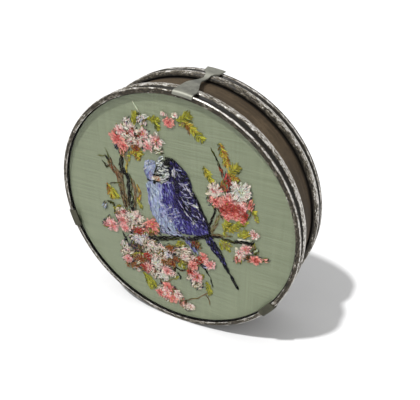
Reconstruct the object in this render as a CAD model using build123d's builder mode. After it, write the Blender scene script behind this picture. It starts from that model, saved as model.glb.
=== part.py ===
"""Round tea caddy standing on its edge: a flat tin drum with a pull-off glazed lid.

Millimetres. +Z is up, the glazed front faces -Y. The origin is on the floor under the drum's middle.
Every round piece is turned about the drum's axis, which runs along Y at height HOOP_R.
Profiles are drawn as (radius, depth), where depth is measured back from the lid's front lip.
"""

import os
from math import cos, radians, sin, sqrt

from build123d import *

# Driving dimensions
HOOP_R = 105.0  # crest of the pressed beads, so the object is 210 across
DEPTH = 55.5  # front lip to rear rim
HOOK_OUT = 1.0  # how far the straps' hooks stand in front of the lip
SHEET = 0.8  # hoop sheet
BEAD_R = 3.9  # outer radius of one half-round bead
LAND = 0.6  # flat at the hoop's rims, where the bead is dressed level
GROOVE_FILL = 0.9  # how far the rear hoop's groove floor stands above its beads' feet
WIRE_R = 1.3  # wired edge round the lid's lip
LIP_SHEET = 0.42  # lip turned in over the glass
CHANNEL_R = 102.6  # floor of the wide groove behind the wired edge
BAND_R = 100.3  # outside of the drum's recessed side
BAND_SHEET = 0.5
LINER_SHEET = 0.4
SLIP = 0.3  # clearance of the lid's collar on the drum
JOIN = 0.03  # solder or glue gap between fixed pieces

# Depths of the stack behind the lip
GLASS_DEPTH = 0.45
GLASS_THICK = 1.0
SILK_DEPTH = 2.85
SILK_THICK = 0.25
CARD_THICK = 1.4
PLATE_THICK = 0.7
MOUTH_DEPTH = 7.9  # front edge of the drum

# Straps
STRAP_ANGLES = {"strap_top": 82.5, "strap_left": 195.5, "strap_right": 324.5}
# How far each hook reaches past the lip towards the middle
HOOK_REACH = {"strap_top": -1.9, "strap_left": 3.6, "strap_right": 1.9}
STRAP_SHEET = 0.9
STRAP_GAP = HOOK_OUT - STRAP_SHEET
STRAP_HALF = 7.6  # half the width of both ends

# Derived places
Y_FRONT = -(DEPTH + HOOK_OUT) / 2 + HOOK_OUT
FOOT_R = HOOP_R - BEAD_R
LIP_R = FOOT_R
BEAD_REACH = sqrt(BEAD_R**2 - LAND**2)  # from a bead's middle to the flat rim beside it
HOOP_WIDE = 2 * BEAD_REACH + 2 * BEAD_R
REAR_START = DEPTH - HOOP_WIDE
STACK_R = FOOT_R + 0.65
GLASS_BACK = GLASS_DEPTH + GLASS_THICK
CARD_DEPTH = SILK_DEPTH + SILK_THICK + JOIN
PLATE_DEPTH = CARD_DEPTH + CARD_THICK + JOIN
COLLAR_DEPTH = PLATE_DEPTH + PLATE_THICK + JOIN
BASE_DEPTH = DEPTH - 2.2

# Turning about this axis goes from +X towards +Z, anticlockwise for someone facing the glass
AXIS = Axis((0, 0, HOOP_R), (0, -1, 0))
# Sketch x is radius towards +X, sketch y is depth towards +Y
SECTION = Plane(origin=(0, Y_FRONT, HOOP_R), x_dir=(1, 0, 0), z_dir=(0, 0, 1))


def face_plane(depth):
    """A plane square to the axis, facing the front, at a depth behind the lip."""
    return Plane(origin=(0, Y_FRONT + depth, HOOP_R), x_dir=(1, 0, 0), z_dir=(0, -1, 0))


def ring(r_in, r_out, d_front, d_back):
    """A plain turned ring."""
    with BuildPart() as turned:
        with BuildSketch(SECTION):
            with Locations(((r_in + r_out) / 2, (d_front + d_back) / 2)):
                Rectangle(r_out - r_in, d_back - d_front)
        revolve(axis=AXIS)
    return turned.part


def disc(r, d_front, d_back):
    """A plain round plate."""
    with BuildPart() as plate:
        with BuildSketch(face_plane(d_back)):
            Circle(r)
        extrude(amount=d_back - d_front)
    return plate.part


def double_bead_hoop(start):
    """A hoop of two half-round beads pressed in sheet, with a filled groove between them."""
    mid_1 = start + BEAD_REACH
    groove = mid_1 + BEAD_R
    mid_2 = groove + BEAD_R
    end = start + HOOP_WIDE
    inner = BEAD_R - SHEET
    rise = GROOVE_FILL
    run = BEAD_R - sqrt(BEAD_R**2 - rise**2)
    with BuildPart() as hoop:
        with BuildSketch(SECTION):
            with BuildLine():
                Line((FOOT_R, start), (FOOT_R + LAND, start))
                ThreePointArc(
                    (FOOT_R + LAND, start),
                    (HOOP_R, mid_1),
                    (FOOT_R + rise, groove - run),
                )
                Line((FOOT_R + rise, groove - run), (FOOT_R + rise, groove + run))
                ThreePointArc(
                    (FOOT_R + rise, groove + run),
                    (HOOP_R, mid_2),
                    (FOOT_R + LAND, end),
                )
                Polyline((FOOT_R + LAND, end), (FOOT_R, end), (FOOT_R, mid_2 + inner))
                ThreePointArc(
                    (FOOT_R, mid_2 + inner),
                    (FOOT_R + inner, mid_2),
                    (FOOT_R, mid_2 - inner),
                )
                Line((FOOT_R, mid_2 - inner), (FOOT_R, mid_1 + inner))
                ThreePointArc(
                    (FOOT_R, mid_1 + inner),
                    (FOOT_R + inner, mid_1),
                    (FOOT_R, mid_1 - inner),
                )
                Line((FOOT_R, mid_1 - inner), (FOOT_R, start))
            make_face()
        revolve(axis=AXIS)
    return hoop.part


def wired_hoop():
    """The lid's hoop: a lip turned in over the glass, a wired edge, a groove and one bead."""
    wire_mid = HOOP_R - WIRE_R
    bead_mid = HOOP_WIDE - BEAD_REACH
    inner = BEAD_R - SHEET
    seat = CHANNEL_R - SHEET
    channel_end = bead_mid - sqrt(BEAD_R**2 - (CHANNEL_R - FOOT_R) ** 2)
    hollow_start = bead_mid - sqrt(inner**2 - (seat - FOOT_R) ** 2)
    with BuildPart() as hoop:
        with BuildSketch(SECTION):
            with BuildLine():
                Polyline((LIP_R, LIP_SHEET), (LIP_R, 0), (wire_mid, 0))
                ThreePointArc((wire_mid, 0), (HOOP_R, WIRE_R), (wire_mid, 2 * WIRE_R))
                Polyline(
                    (wire_mid, 2 * WIRE_R),
                    (CHANNEL_R, 2 * WIRE_R + 0.4),
                    (CHANNEL_R, channel_end),
                )
                ThreePointArc(
                    (CHANNEL_R, channel_end),
                    (HOOP_R, bead_mid),
                    (FOOT_R + LAND, HOOP_WIDE),
                )
                Polyline(
                    (FOOT_R + LAND, HOOP_WIDE),
                    (FOOT_R, HOOP_WIDE),
                    (FOOT_R, bead_mid + inner),
                )
                ThreePointArc(
                    (FOOT_R, bead_mid + inner),
                    (FOOT_R + inner, bead_mid),
                    (seat, hollow_start),
                )
                Polyline((seat, hollow_start), (seat, LIP_SHEET), (LIP_R, LIP_SHEET))
            make_face()
        revolve(axis=AXIS)
    return hoop.part


os.makedirs("parts", exist_ok=True)


def keep(part, name):
    """Labels a finished piece and writes it."""
    part.label = name
    export_step(part, f"parts/{name}.step")


# ---- The drum ----

# Recessed side, one strip of tin rolled into a tube
with BuildPart() as side_band:
    add(ring(BAND_R - BAND_SHEET, BAND_R, MOUTH_DEPTH + JOIN, BASE_DEPTH - JOIN))
keep(side_band.part, "side_band")

# Lap of the rolled strip, on the underside between the hoops
SEAM_ARC = 5.0
SEAM_ANGLE = 268.0
SEAM_SHEET = 0.4
SEAM_PLANE = Plane(
    origin=(0, Y_FRONT, HOOP_R),
    x_dir=(cos(radians(SEAM_ANGLE)), 0, sin(radians(SEAM_ANGLE))),
    z_dir=(-sin(radians(SEAM_ANGLE)), 0, cos(radians(SEAM_ANGLE))),
)
with BuildPart() as band_seam:
    with BuildSketch(SEAM_PLANE):
        seam_front = HOOP_WIDE + 0.6
        seam_back = REAR_START - 0.6
        with Locations((BAND_R + JOIN + SEAM_SHEET / 2, (seam_front + seam_back) / 2)):
            Rectangle(SEAM_SHEET, seam_back - seam_front)
    revolve(axis=AXIS, revolution_arc=SEAM_ARC)
keep(band_seam.part, "band_seam")

# Rear hoop and the plain ring that it is soldered to
with BuildPart() as rear_hoop:
    add(double_bead_hoop(REAR_START))
keep(rear_hoop.part, "rear_hoop")

with BuildPart() as rear_collar:
    add(ring(BAND_R + JOIN, FOOT_R - JOIN, REAR_START + 0.2, BASE_DEPTH - JOIN))
keep(rear_collar.part, "rear_collar")

# Back of the drum, a disc stiffened with two pressed steps
BASE_SHEET = 0.7
BASE_STEP = 0.8
STEP_OUT_R = 88.0
STEP_IN_R = 40.0
STEP_RUN = 3.0
with BuildPart() as base_plate:
    with BuildSketch(SECTION):
        with BuildLine():
            front = BASE_DEPTH
            Polyline(
                (0, front),
                (STEP_IN_R - STEP_RUN, front),
                (STEP_IN_R, front + BASE_STEP),
                (STEP_OUT_R - STEP_RUN, front + BASE_STEP),
                (STEP_OUT_R, front),
                (STACK_R, front),
                (STACK_R, front + BASE_SHEET),
                (STEP_OUT_R + 0.3, front + BASE_SHEET),
                (STEP_OUT_R - STEP_RUN + 0.3, front + BASE_STEP + BASE_SHEET),
                (STEP_IN_R - 0.3, front + BASE_STEP + BASE_SHEET),
                (STEP_IN_R - STEP_RUN - 0.3, front + BASE_SHEET),
                (0, front + BASE_SHEET),
                close=True,
            )
        make_face()
    revolve(axis=AXIS)
keep(base_plate.part, "base_plate")

# Tin lining of the tea space: a wall with a turned-out rim, and a floor
LINER_R = BAND_R - BAND_SHEET - JOIN
LINER_FLOOR = BASE_DEPTH - JOIN - LINER_SHEET
with BuildPart() as liner_wall:
    add(ring(LINER_R - LINER_SHEET, LINER_R, MOUTH_DEPTH - SHEET / 4, LINER_FLOOR - JOIN))
    with BuildSketch(SECTION):
        with Locations(((LINER_R + BAND_R) / 2 - LINER_SHEET / 2, MOUTH_DEPTH - SHEET / 8)):
            Rectangle(BAND_R - LINER_R + LINER_SHEET, SHEET / 4)
    revolve(axis=AXIS)
keep(liner_wall.part, "liner_wall")

with BuildPart() as liner_floor:
    add(disc(LINER_R, LINER_FLOOR, LINER_FLOOR + LINER_SHEET))
keep(liner_floor.part, "liner_floor")

# ---- The lid ----

with BuildPart() as front_hoop:
    add(wired_hoop())
keep(front_hoop.part, "front_hoop")

# Collar that slips over the mouth of the drum
with BuildPart() as lid_collar:
    add(ring(BAND_R + SLIP, FOOT_R - JOIN, COLLAR_DEPTH, HOOP_WIDE - 0.1))
keep(lid_collar.part, "lid_collar")

# Glass with a ground edge
with BuildPart() as glass_pane:
    add(disc(STACK_R, GLASS_DEPTH, GLASS_BACK))
    chamfer(glass_pane.edges(), length=0.3)
keep(glass_pane.part, "glass_pane")

# Dark card ring that holds the glass off the needlework
with BuildPart() as glass_spacer:
    add(ring(LIP_R - 0.6, STACK_R, GLASS_BACK + JOIN, SILK_DEPTH - JOIN))
keep(glass_spacer.part, "glass_spacer")

with BuildPart() as silk_ground:
    add(disc(STACK_R, SILK_DEPTH, SILK_DEPTH + SILK_THICK))
keep(silk_ground.part, "silk_ground")

with BuildPart() as backing_card:
    add(disc(STACK_R, CARD_DEPTH, CARD_DEPTH + CARD_THICK))
keep(backing_card.part, "backing_card")

with BuildPart() as lid_back_plate:
    add(disc(FOOT_R - JOIN, PLATE_DEPTH, PLATE_DEPTH + PLATE_THICK))
keep(lid_back_plate.part, "lid_back_plate")

# ---- Raised needlework on the silk, in sketch coordinates about the lid's middle ----

# Each kind of needlework lies on the one before it
PICTURE_RIGHT = 0.9  # the needlework's middle from the tin's axis
PICTURE_UP = 1.3
LAYERS = ("embroidery_branch", "embroidery_leaves", "embroidery_bird", "embroidery_blossoms")
THREAD_HIGH = 0.3

BIRD = [
    (-5, 51), (1, 51), (9, 46), (14, 38), (17, 30), (21, 23), (26, 11), (31, 1), (31, -8),
    (37, -16), (44, -29), (58, -54), (55, -56), (41, -33), (31, -20), (22, -13), (8, -17),
    (-6, -19), (-14, -13), (-20, -3), (-23, 8), (-23, 24), (-25, 34), (-22, 43), (-13, 47),
]
TAIL_FEATHER = [(9, -18.5), (17, -19), (22, -31), (33, -50), (34, -59), (29, -47), (18, -33)]
TRUNK = [
    (-46, 48), (-43, 38), (-42, 30), (-38, 26), (-37, 14), (-38, 2), (-36, -8),
    (-40, -8), (-43, 4), (-43, 17), (-47, 22), (-58, 42), (-60, 40), (-50, 22), (-48, 34),
]
PERCH = [(-22, -29), (-10, -24), (4, -22), (9, -18.2), (8.5, -17.7), (-6, -19.6), (-13, -20.2)]
PERCH_RIGHT = [(34, -10.5), (40, -9), (54, -8), (68, -3), (69, -1), (54, -5), (40, -6), (33, -7)]
LEAVES = [
    (12, 83, 24, 7, -35), (-30, 48, 12, 8, 20), (41, 68, 14, 5, 70), (52, 50, 14, 5, 60),
    (31, 46, 12, 5, 110), (67, 25, 16, 5, 80), (54, 3, 18, 6, -15), (46, -14, 12, 5, 60),
    (-57, 2, 18, 5, 110), (-27, -76, 16, 5, 150), (32, -66, 14, 5, 95), (7, -46, 10, 5, 50),
]
BLOSSOMS = [
    (-47, 58, 8.5), (-30, 65, 8), (-14, 62, 8), (0, 81, 7), (-18, 79, 5),
    (57, 37, 10), (38, 34, 6), (38, 20, 8), (54, 18, 9), (-54, -22, 8), (-33, -14, 9),
    (-20, -42, 8), (-36, -56, 8), (-5, -55, 9), (20, -53, 8), (27, -37, 8),
    (-9, -81, 10), (60, -16, 7), (75, -17, 5), (68, 5, 4),
]


def layer_plane(name):
    """The back of one layer of thread."""
    depth = SILK_DEPTH - JOIN - LAYERS.index(name) * (THREAD_HIGH + JOIN)
    return Plane(
        origin=(PICTURE_RIGHT, Y_FRONT + depth, HOOP_R + PICTURE_UP),
        x_dir=(1, 0, 0),
        z_dir=(0, -1, 0),
    )


with BuildPart() as embroidery_bird:
    with BuildSketch(layer_plane("embroidery_bird")):
        with BuildLine():
            Polyline(*BIRD, close=True)
        make_face()
        with BuildLine():
            Polyline(*TAIL_FEATHER, close=True)
        make_face()
    extrude(amount=THREAD_HIGH)
keep(embroidery_bird.part, "embroidery_bird")

with BuildPart() as embroidery_branch:
    with BuildSketch(layer_plane("embroidery_branch")):
        for outline in (TRUNK, PERCH, PERCH_RIGHT):
            with BuildLine():
                Polyline(*outline, close=True)
            make_face()
    extrude(amount=THREAD_HIGH)
keep(embroidery_branch.part, "embroidery_branch")

with BuildPart() as embroidery_leaves:
    for u, v, long, wide, turn in LEAVES:
        with BuildSketch(layer_plane("embroidery_leaves")):
            with Locations(Location((u, v, 0), (0, 0, turn))):
                Ellipse(long / 2, wide / 2)
        extrude(amount=THREAD_HIGH)
keep(embroidery_leaves.part, "embroidery_leaves")

with BuildPart() as embroidery_blossoms:
    for u, v, r in BLOSSOMS:
        with BuildSketch(layer_plane("embroidery_blossoms")):
            with Locations((u, v)):
                Circle(r)
        extrude(amount=THREAD_HIGH)
keep(embroidery_blossoms.part, "embroidery_blossoms")

# ---- The straps: bow-tie strips hooked over the lip, sprung over the rear hoop ----

UNDER_R = HOOP_R + STRAP_GAP
TAIL_END = DEPTH - 1.2
HOOK_R = WIRE_R + STRAP_GAP
HALF_SWEEP = 6.0  # degrees each side, a little more than the strap's half width

# The strap's underside behind the wired edge, as (radius, depth). Its neck dips between the hoops
UNDERSIDE = [
    (UNDER_R, WIRE_R),
    (UNDER_R, 13.0),
    (UNDER_R - 0.7, 25.0),
    (UNDER_R - 1.9, 34.0),
    (UNDER_R - 1.8, 38.0),
    (UNDER_R + 0.1, 42.5),
    (UNDER_R + 0.6, 47.0),
    (UNDER_R + 0.7, TAIL_END + 1),
]

# The bow-tie outline, as (depth, sideways), with sideways positive anticlockwise
NEAR_FLANK = [
    (-2.0, STRAP_HALF),
    (11.0, STRAP_HALF),
    (21.0, STRAP_HALF - 1.0),
    (29.0, STRAP_HALF - 2.6),
    (38.0, 3.6),
    (42.0, 4.0),
    (46.5, STRAP_HALF),
    (TAIL_END, STRAP_HALF + 1.2),
]
FAR_FLANK = [
    (TAIL_END, -STRAP_HALF + 1.4),
    (45.5, -STRAP_HALF + 2.2),
    (41.0, -0.6),
    (36.0, 0.4),
    (29.0, 0.6),
    (20.0, -2.6),
    (12.0, -STRAP_HALF + 1.6),
    (7.0, -STRAP_HALF + 0.2),
    (-2.0, -STRAP_HALF),
]


def make_strap(angle, hook_reach):
    """One strap at an angle about the axis, counted from +X towards +Z."""
    start = radians(angle - HALF_SWEEP)
    middle = radians(angle)
    section = Plane(
        origin=(0, Y_FRONT, HOOP_R),
        x_dir=(cos(start), 0, sin(start)),
        z_dir=(-sin(start), 0, cos(start)),
    )
    outside = Plane(
        origin=(HOOP_R * cos(middle), Y_FRONT, HOOP_R + HOOP_R * sin(middle)),
        x_dir=(0, 1, 0),
        z_dir=(cos(middle), 0, sin(middle)),
    )
    bend_r = HOOP_R - WIRE_R
    tip_r = LIP_R - hook_reach
    slant = cos(radians(45))
    topside = [(r + STRAP_SHEET, depth) for r, depth in UNDERSIDE]
    with BuildPart() as strap:
        with BuildSketch(section):
            with BuildLine():
                Line((tip_r, -HOOK_OUT), (bend_r, -HOOK_OUT))
                ThreePointArc(
                    (bend_r, -HOOK_OUT),
                    (
                        bend_r + (HOOK_R + STRAP_SHEET) * slant,
                        WIRE_R - (HOOK_R + STRAP_SHEET) * slant,
                    ),
                    topside[0],
                )
                Line(topside[0], topside[1])
                Spline(*topside[1:])
                Line(topside[-1], UNDERSIDE[-1])
                Spline(*UNDERSIDE[1:])
                Line(UNDERSIDE[1], UNDERSIDE[0])
                ThreePointArc(
                    UNDERSIDE[0],
                    (bend_r + HOOK_R * slant, WIRE_R - HOOK_R * slant),
                    (bend_r, -STRAP_GAP),
                )
                Polyline((bend_r, -STRAP_GAP), (tip_r, -STRAP_GAP), (tip_r, -HOOK_OUT))
            make_face()
        revolve(axis=AXIS, revolution_arc=2 * HALF_SWEEP)
        with BuildSketch(outside):
            with BuildLine():
                Polyline(*NEAR_FLANK, *FAR_FLANK, close=True)
            make_face()
        extrude(amount=2 * BEAD_R, both=True, mode=Mode.INTERSECT)
    return strap.part


for strap_name, strap_angle in STRAP_ANGLES.items():
    keep(make_strap(strap_angle, HOOK_REACH[strap_name]), strap_name)

# Solder in the front groove under each strap
TACK_SWEEP = 4.0
TACK_LOW = CHANNEL_R + JOIN
TACK_HIGH = UNDER_R - JOIN
TACK_FRONT = 2 * WIRE_R + 0.5
TACK_BACK = HOOP_WIDE - BEAD_REACH - BEAD_R

with BuildPart() as solder_tacks:
    for strap_angle in STRAP_ANGLES.values():
        low = radians(strap_angle - TACK_SWEEP / 2)
        tack_plane = Plane(
            origin=(0, Y_FRONT, HOOP_R),
            x_dir=(cos(low), 0, sin(low)),
            z_dir=(-sin(low), 0, cos(low)),
        )
        with BuildSketch(tack_plane):
            with Locations(((TACK_LOW + TACK_HIGH) / 2, (TACK_FRONT + TACK_BACK) / 2)):
                Rectangle(TACK_HIGH - TACK_LOW, TACK_BACK - TACK_FRONT)
        revolve(axis=AXIS, revolution_arc=TACK_SWEEP)
keep(solder_tacks.part, "solder_tacks")
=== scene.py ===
"""Looks of a flat round tea caddy that stands on its edge: worn silver hoops, a brown tin side,
zinc straps, and a glazed picture of a budgerigar and blossoms in silk floss on green silk.

Metres, +Z up, the picture faces -Y. Places on the picture are millimetres from its middle,
u to the right and v up, as someone facing the glass sees it.
"""

import math
import random

import bpy
import numpy as np
from mathutils import Matrix, Vector, noise


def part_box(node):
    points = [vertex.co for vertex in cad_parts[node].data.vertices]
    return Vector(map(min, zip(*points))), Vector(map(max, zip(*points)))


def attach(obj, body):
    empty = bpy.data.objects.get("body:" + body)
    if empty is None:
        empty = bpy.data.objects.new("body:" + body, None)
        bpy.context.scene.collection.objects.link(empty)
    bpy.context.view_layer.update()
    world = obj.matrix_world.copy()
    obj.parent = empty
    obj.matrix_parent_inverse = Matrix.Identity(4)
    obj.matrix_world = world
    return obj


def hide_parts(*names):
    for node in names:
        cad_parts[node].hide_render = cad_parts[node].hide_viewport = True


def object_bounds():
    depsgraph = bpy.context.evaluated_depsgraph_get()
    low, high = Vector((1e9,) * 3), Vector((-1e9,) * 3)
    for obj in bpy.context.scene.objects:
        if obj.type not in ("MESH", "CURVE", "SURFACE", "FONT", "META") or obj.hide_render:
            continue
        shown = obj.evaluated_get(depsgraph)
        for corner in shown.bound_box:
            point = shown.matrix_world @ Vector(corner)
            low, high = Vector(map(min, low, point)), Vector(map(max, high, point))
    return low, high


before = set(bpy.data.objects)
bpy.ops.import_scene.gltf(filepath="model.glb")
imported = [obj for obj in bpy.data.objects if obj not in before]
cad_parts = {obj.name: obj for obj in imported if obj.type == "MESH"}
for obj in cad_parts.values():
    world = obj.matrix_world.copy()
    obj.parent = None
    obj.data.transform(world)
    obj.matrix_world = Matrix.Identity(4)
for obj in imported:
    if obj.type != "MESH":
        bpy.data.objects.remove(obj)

cad_box = [list(corner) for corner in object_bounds()]

# ---- Places, all from the frame ----

MM = 0.001
front_low, front_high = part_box("front_hoop")
rear_low, rear_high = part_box("rear_hoop")
HOOP_R = (front_high.z - front_low.z) / 2
AXIS_Z = (front_high.z + front_low.z) / 2
LIP_Y = front_low.y
FOOT_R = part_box("lid_collar")[1].x + 0.03 * MM
BEAD_R = HOOP_R - FOOT_R
SILK_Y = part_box("silk_ground")[0].y
SILK_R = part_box("silk_ground")[1].x
SEAM_ANGLE = math.radians(197)  # hidden under the left strap


def srgb(r, g, b):
    """Linear colour from the 0 to 255 values that a palette is written in."""
    return tuple(
        c / 255 / 12.92 if c <= 10 else ((c / 255 + 0.055) / 1.055) ** 2.4 for c in (r, g, b)
    )


# ---- Camera ----

AZIMUTH = math.radians(26.57)
ELEVATION = math.radians(31.49)
LENS = 44.21
SENSOR = 36
NEAREST = 0.01  # metres
AIM_BEHIND_LIP = 0.3172  # this and the next three in hoop radii
CAMERA_RIGHT = 0.1489
CAMERA_UP = -0.0063
CAMERA_BACK = 4.0686


def make_camera():
    ca, sa = math.cos(AZIMUTH), math.sin(AZIMUTH)
    ce, se = math.cos(ELEVATION), math.sin(ELEVATION)
    right = Vector((ca, sa, 0))
    back = Vector((sa * ce, -ca * ce, se))
    up = back.cross(right)
    aim = Vector((0, LIP_Y + AIM_BEHIND_LIP * HOOP_R, AXIS_Z))
    offset = right * CAMERA_RIGHT + up * CAMERA_UP + back * CAMERA_BACK
    data = bpy.data.cameras.new("camera")
    data.lens = LENS
    data.sensor_width = SENSOR
    data.clip_start = NEAREST
    camera = bpy.data.objects.new("camera", data)
    bpy.context.scene.collection.objects.link(camera)
    turn = Matrix((right, up, back)).transposed().to_4x4()
    camera.matrix_world = Matrix.Translation(aim + offset * HOOP_R) @ turn
    bpy.context.scene.camera = camera


# ---- Node graphs ----


class Graph:
    """The nodes of a new material, or of a world, with inputs given as values or as sockets."""

    def __init__(self, name, owner=None):
        self.owner = owner or bpy.data.materials.new(name)
        self.owner.use_nodes = True
        self.tree = self.owner.node_tree
        self.tree.nodes.clear()

    def node(self, kind, inputs=None, out=0, **settings):
        made = self.tree.nodes.new("ShaderNode" + kind)
        for key, value in settings.items():
            setattr(made, key, value)
        for key, value in (inputs or {}).items():
            self.put(made.inputs[key], value)
        return made.outputs[out]

    def put(self, socket, value):
        if isinstance(value, bpy.types.NodeSocket):
            self.tree.links.new(value, socket)
        elif isinstance(value, tuple) and len(value) == 3 and socket.type == "RGBA":
            socket.default_value = (*value, 1)
        else:
            socket.default_value = value

    def math(self, operation, a, b=0.0, c=0.0, clamp=False):
        return self.node("Math", {0: a, 1: b, 2: c}, operation=operation, use_clamp=clamp)

    def times(self, a, b):
        return self.math("MULTIPLY", a, b)

    def scaled(self, value, factor, offset):
        """value times factor, plus offset."""
        return self.math("MULTIPLY_ADD", value, factor, offset)

    def mix(self, factor, a, b, blend="MIX"):
        inputs = {0: factor, 6: a, 7: b}
        return self.node("Mix", inputs, out=2, data_type="RGBA", blend_type=blend)

    def step(self, value, low, high):
        """0 below low, 1 above high, smooth between."""
        inputs = {0: value, 1: low, 2: high, 3: 0.0, 4: 1.0}
        return self.node("MapRange", inputs, interpolation_type="SMOOTHSTEP")

    def noise(self, vector, scale, detail=3.0, roughness=0.55, distortion=0.0):
        """Noise from 0 to 1. Three scales stretch it, with one for each axis."""
        if isinstance(scale, tuple):
            vector = self.node("VectorMath", {0: vector, 1: scale}, operation="MULTIPLY")
            scale = 1.0
        inputs = {"Vector": vector, "Scale": scale, "Detail": detail}
        return self.node("TexNoise", {**inputs, "Roughness": roughness, "Distortion": distortion})

    def place(self):
        """Object coordinates, in metres."""
        return self.node("TexCoord", out=3)

    def uv(self, name):
        return self.node("UVMap", uv_map=name)

    def bump(self, height, distance, strength):
        inputs = {"Height": height, "Distance": distance, "Strength": strength}
        return self.node("Bump", inputs)

    def principled(self, **inputs):
        """The surface. Underscores in the names stand for spaces."""
        named = {key.replace("_", " "): value for key, value in inputs.items()}
        return self.finish(self.node("BsdfPrincipled", named))

    def finish(self, shader, output="Material"):
        surface = self.tree.nodes.new("ShaderNodeOutput" + output)
        self.put(surface.inputs["Surface"], shader)
        return self.owner


def tinted(tone, factor):
    """A palette colour made darker or lighter."""
    return tuple(min(1, c * factor) for c in tone)


# ---- Materials ----

LEAF_LIGHT = srgb(222, 219, 213)
LEAF_DULL = srgb(146, 141, 136)
LEAF_PINK = srgb(136, 122, 114)
UNDER_DARK = srgb(20, 18, 15)
UNDER_BROWN = srgb(56, 48, 35)
STAIN = srgb(98, 91, 78)
# Near-black painted shade for the hoops' grooves, hollows and feet
CREVICE_SHADE = srgb(8, 7, 5)
# Painted shade for the brown lacquer where the band meets the rear hoop
PAINTED_LACQUER_SHADE = srgb(12, 9, 7)
SHADE_STARTS = 4.0 * MM  # distances in front of the rear hoop
SHADE_FULL = 0.8 * MM


def worn_silver():
    """Silver leaf rubbed into ragged flakes over dark brown, with painted shade in near black where
    the wear colours' second channel marks grooves and feet.
    """
    g = Graph("worn_silver")
    uv = g.uv("round")
    kept = g.node("VertexColor", layer_name="wear")
    wear = g.node("SeparateColor", {0: kept}, out=0)
    # The second channel of the wear colours is painted shade
    painted_shade = g.node("SeparateColor", {0: kept}, out=1)
    fine = g.noise(uv, (330, 980, 1), detail=5.0, roughness=0.8, distortion=0.5)
    broad = g.noise(uv, (110, 330, 1), detail=3.0, roughness=0.5)
    patchy = g.noise(uv, (12, 60, 1), detail=2.0)
    streak = g.scaled(fine, 1.3, g.scaled(broad, 0.7, -0.5))
    level = g.scaled(wear, 0.5, streak)
    leaf = g.step(level, 0.80, 0.82)
    stain = g.step(level, 0.63, 0.68)
    silver = g.mix(g.step(fine, 0.40, 0.60), LEAF_DULL, LEAF_LIGHT)
    silver = g.mix(g.step(patchy, 0.56, 0.70), silver, LEAF_PINK)
    under = g.mix(g.step(fine, 0.40, 0.58), UNDER_DARK, UNDER_BROWN)
    under = g.mix(stain, under, STAIN)
    grain = g.noise(uv, (900, 2600, 1), detail=2.0)
    height = g.scaled(grain, 0.25, g.math("ADD", leaf, stain))
    # Painted shade: near black where the second channel is high
    surface = g.mix(g.times(painted_shade, 0.95), g.mix(leaf, under, silver), CREVICE_SHADE)
    bright = g.times(leaf, g.math("SUBTRACT", 0.8, painted_shade, clamp=True))
    return g.principled(
        Base_Color=surface,
        Metallic=bright,
        Roughness=g.scaled(grain, 0.35, 0.30),
        Specular_IOR_Level=0.25,
        Normal=g.bump(height, 0.13 * MM, 0.9),
    )


def brown_lacquer(name, tone, gloss, rubbed=(12, 420, 12)):
    """Matte brown lacquer with faint rubbing round the drum and small pits, darkened by painted
    shade towards the rear hoop and behind it.
    """
    g = Graph(name)
    place = g.place()
    cloud = g.noise(place, 38.0, detail=4.0)
    rub = g.noise(place, rubbed, detail=4.0, roughness=0.6)
    pits = g.noise(place, 1400.0, detail=2.0)
    dark, pale = tinted(tone, 0.56), tinted(tone, 1.5)
    colour = g.mix(g.step(cloud, 0.35, 0.68), dark, tone)
    colour = g.mix(g.step(rub, 0.46, 0.74), colour, pale)
    colour = g.mix(g.step(g.noise(place, 620.0, detail=4.0), 0.50, 0.66), colour, dark)
    # Painted shade: near black from a little in front of the rear hoop to the back
    depth = g.node("SeparateXYZ", {0: place}, out=1)
    painted_shade = g.step(depth, rear_low.y - SHADE_STARTS, rear_low.y - SHADE_FULL)
    colour = g.mix(g.times(painted_shade, 0.9), colour, PAINTED_LACQUER_SHADE)
    height = g.math("ADD", g.times(pits, 0.5), g.times(rub, 0.6))
    return g.principled(
        Base_Color=colour,
        Roughness=g.scaled(cloud, 0.25, gloss),
        Specular_IOR_Level=0.14,
        Normal=g.bump(height, 0.06 * MM, 0.6),
    )


def tinned_sheet(name, tone, rough, scratch_turn=0.0):
    """Dull tinned sheet with soft clouds, fine scratches and darker grime."""
    g = Graph(name)
    place = g.place()
    turned = g.node("VectorRotate", {"Vector": place, "Angle": scratch_turn})
    cloud = g.noise(place, 70.0, detail=5.0, roughness=0.6)
    scratch = g.noise(turned, (90, 2600, 2600), detail=2.0)
    grain = g.noise(place, 1900.0, detail=2.0)
    dark, pale = tinted(tone, 0.55), tinted(tone, 1.35)
    colour = g.mix(g.step(cloud, 0.30, 0.60), dark, tone)
    colour = g.mix(g.step(scratch, 0.62, 0.74), colour, pale)
    height = g.scaled(scratch, 0.7, g.times(grain, 0.5))
    return g.principled(
        Base_Color=colour,
        Metallic=0.75,
        Roughness=g.scaled(cloud, 0.22, rough),
        Normal=g.bump(height, 0.04 * MM, 0.7),
    )


def solder_metal():
    g = Graph("solder")
    lumps = g.noise(g.place(), 500.0, detail=3.0)
    colour = g.mix(lumps, srgb(95, 95, 92), srgb(175, 175, 170))
    return g.principled(
        Base_Color=colour,
        Metallic=0.9,
        Roughness=g.scaled(lumps, 0.3, 0.25),
        Normal=g.bump(lumps, 0.2 * MM, 0.8),
    )


def card_board(name, light, dark):
    """Pulp board with short fibres."""
    g = Graph(name)
    fibre = g.noise(g.place(), (500, 1500, 1100), detail=4.0, distortion=0.8)
    return g.principled(
        Base_Color=g.mix(g.step(fibre, 0.35, 0.68), dark, light),
        Roughness=g.scaled(fibre, 0.15, 0.8),
        Specular_IOR_Level=0.1,
        Normal=g.bump(fibre, 0.1 * MM, 0.5),
    )


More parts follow.
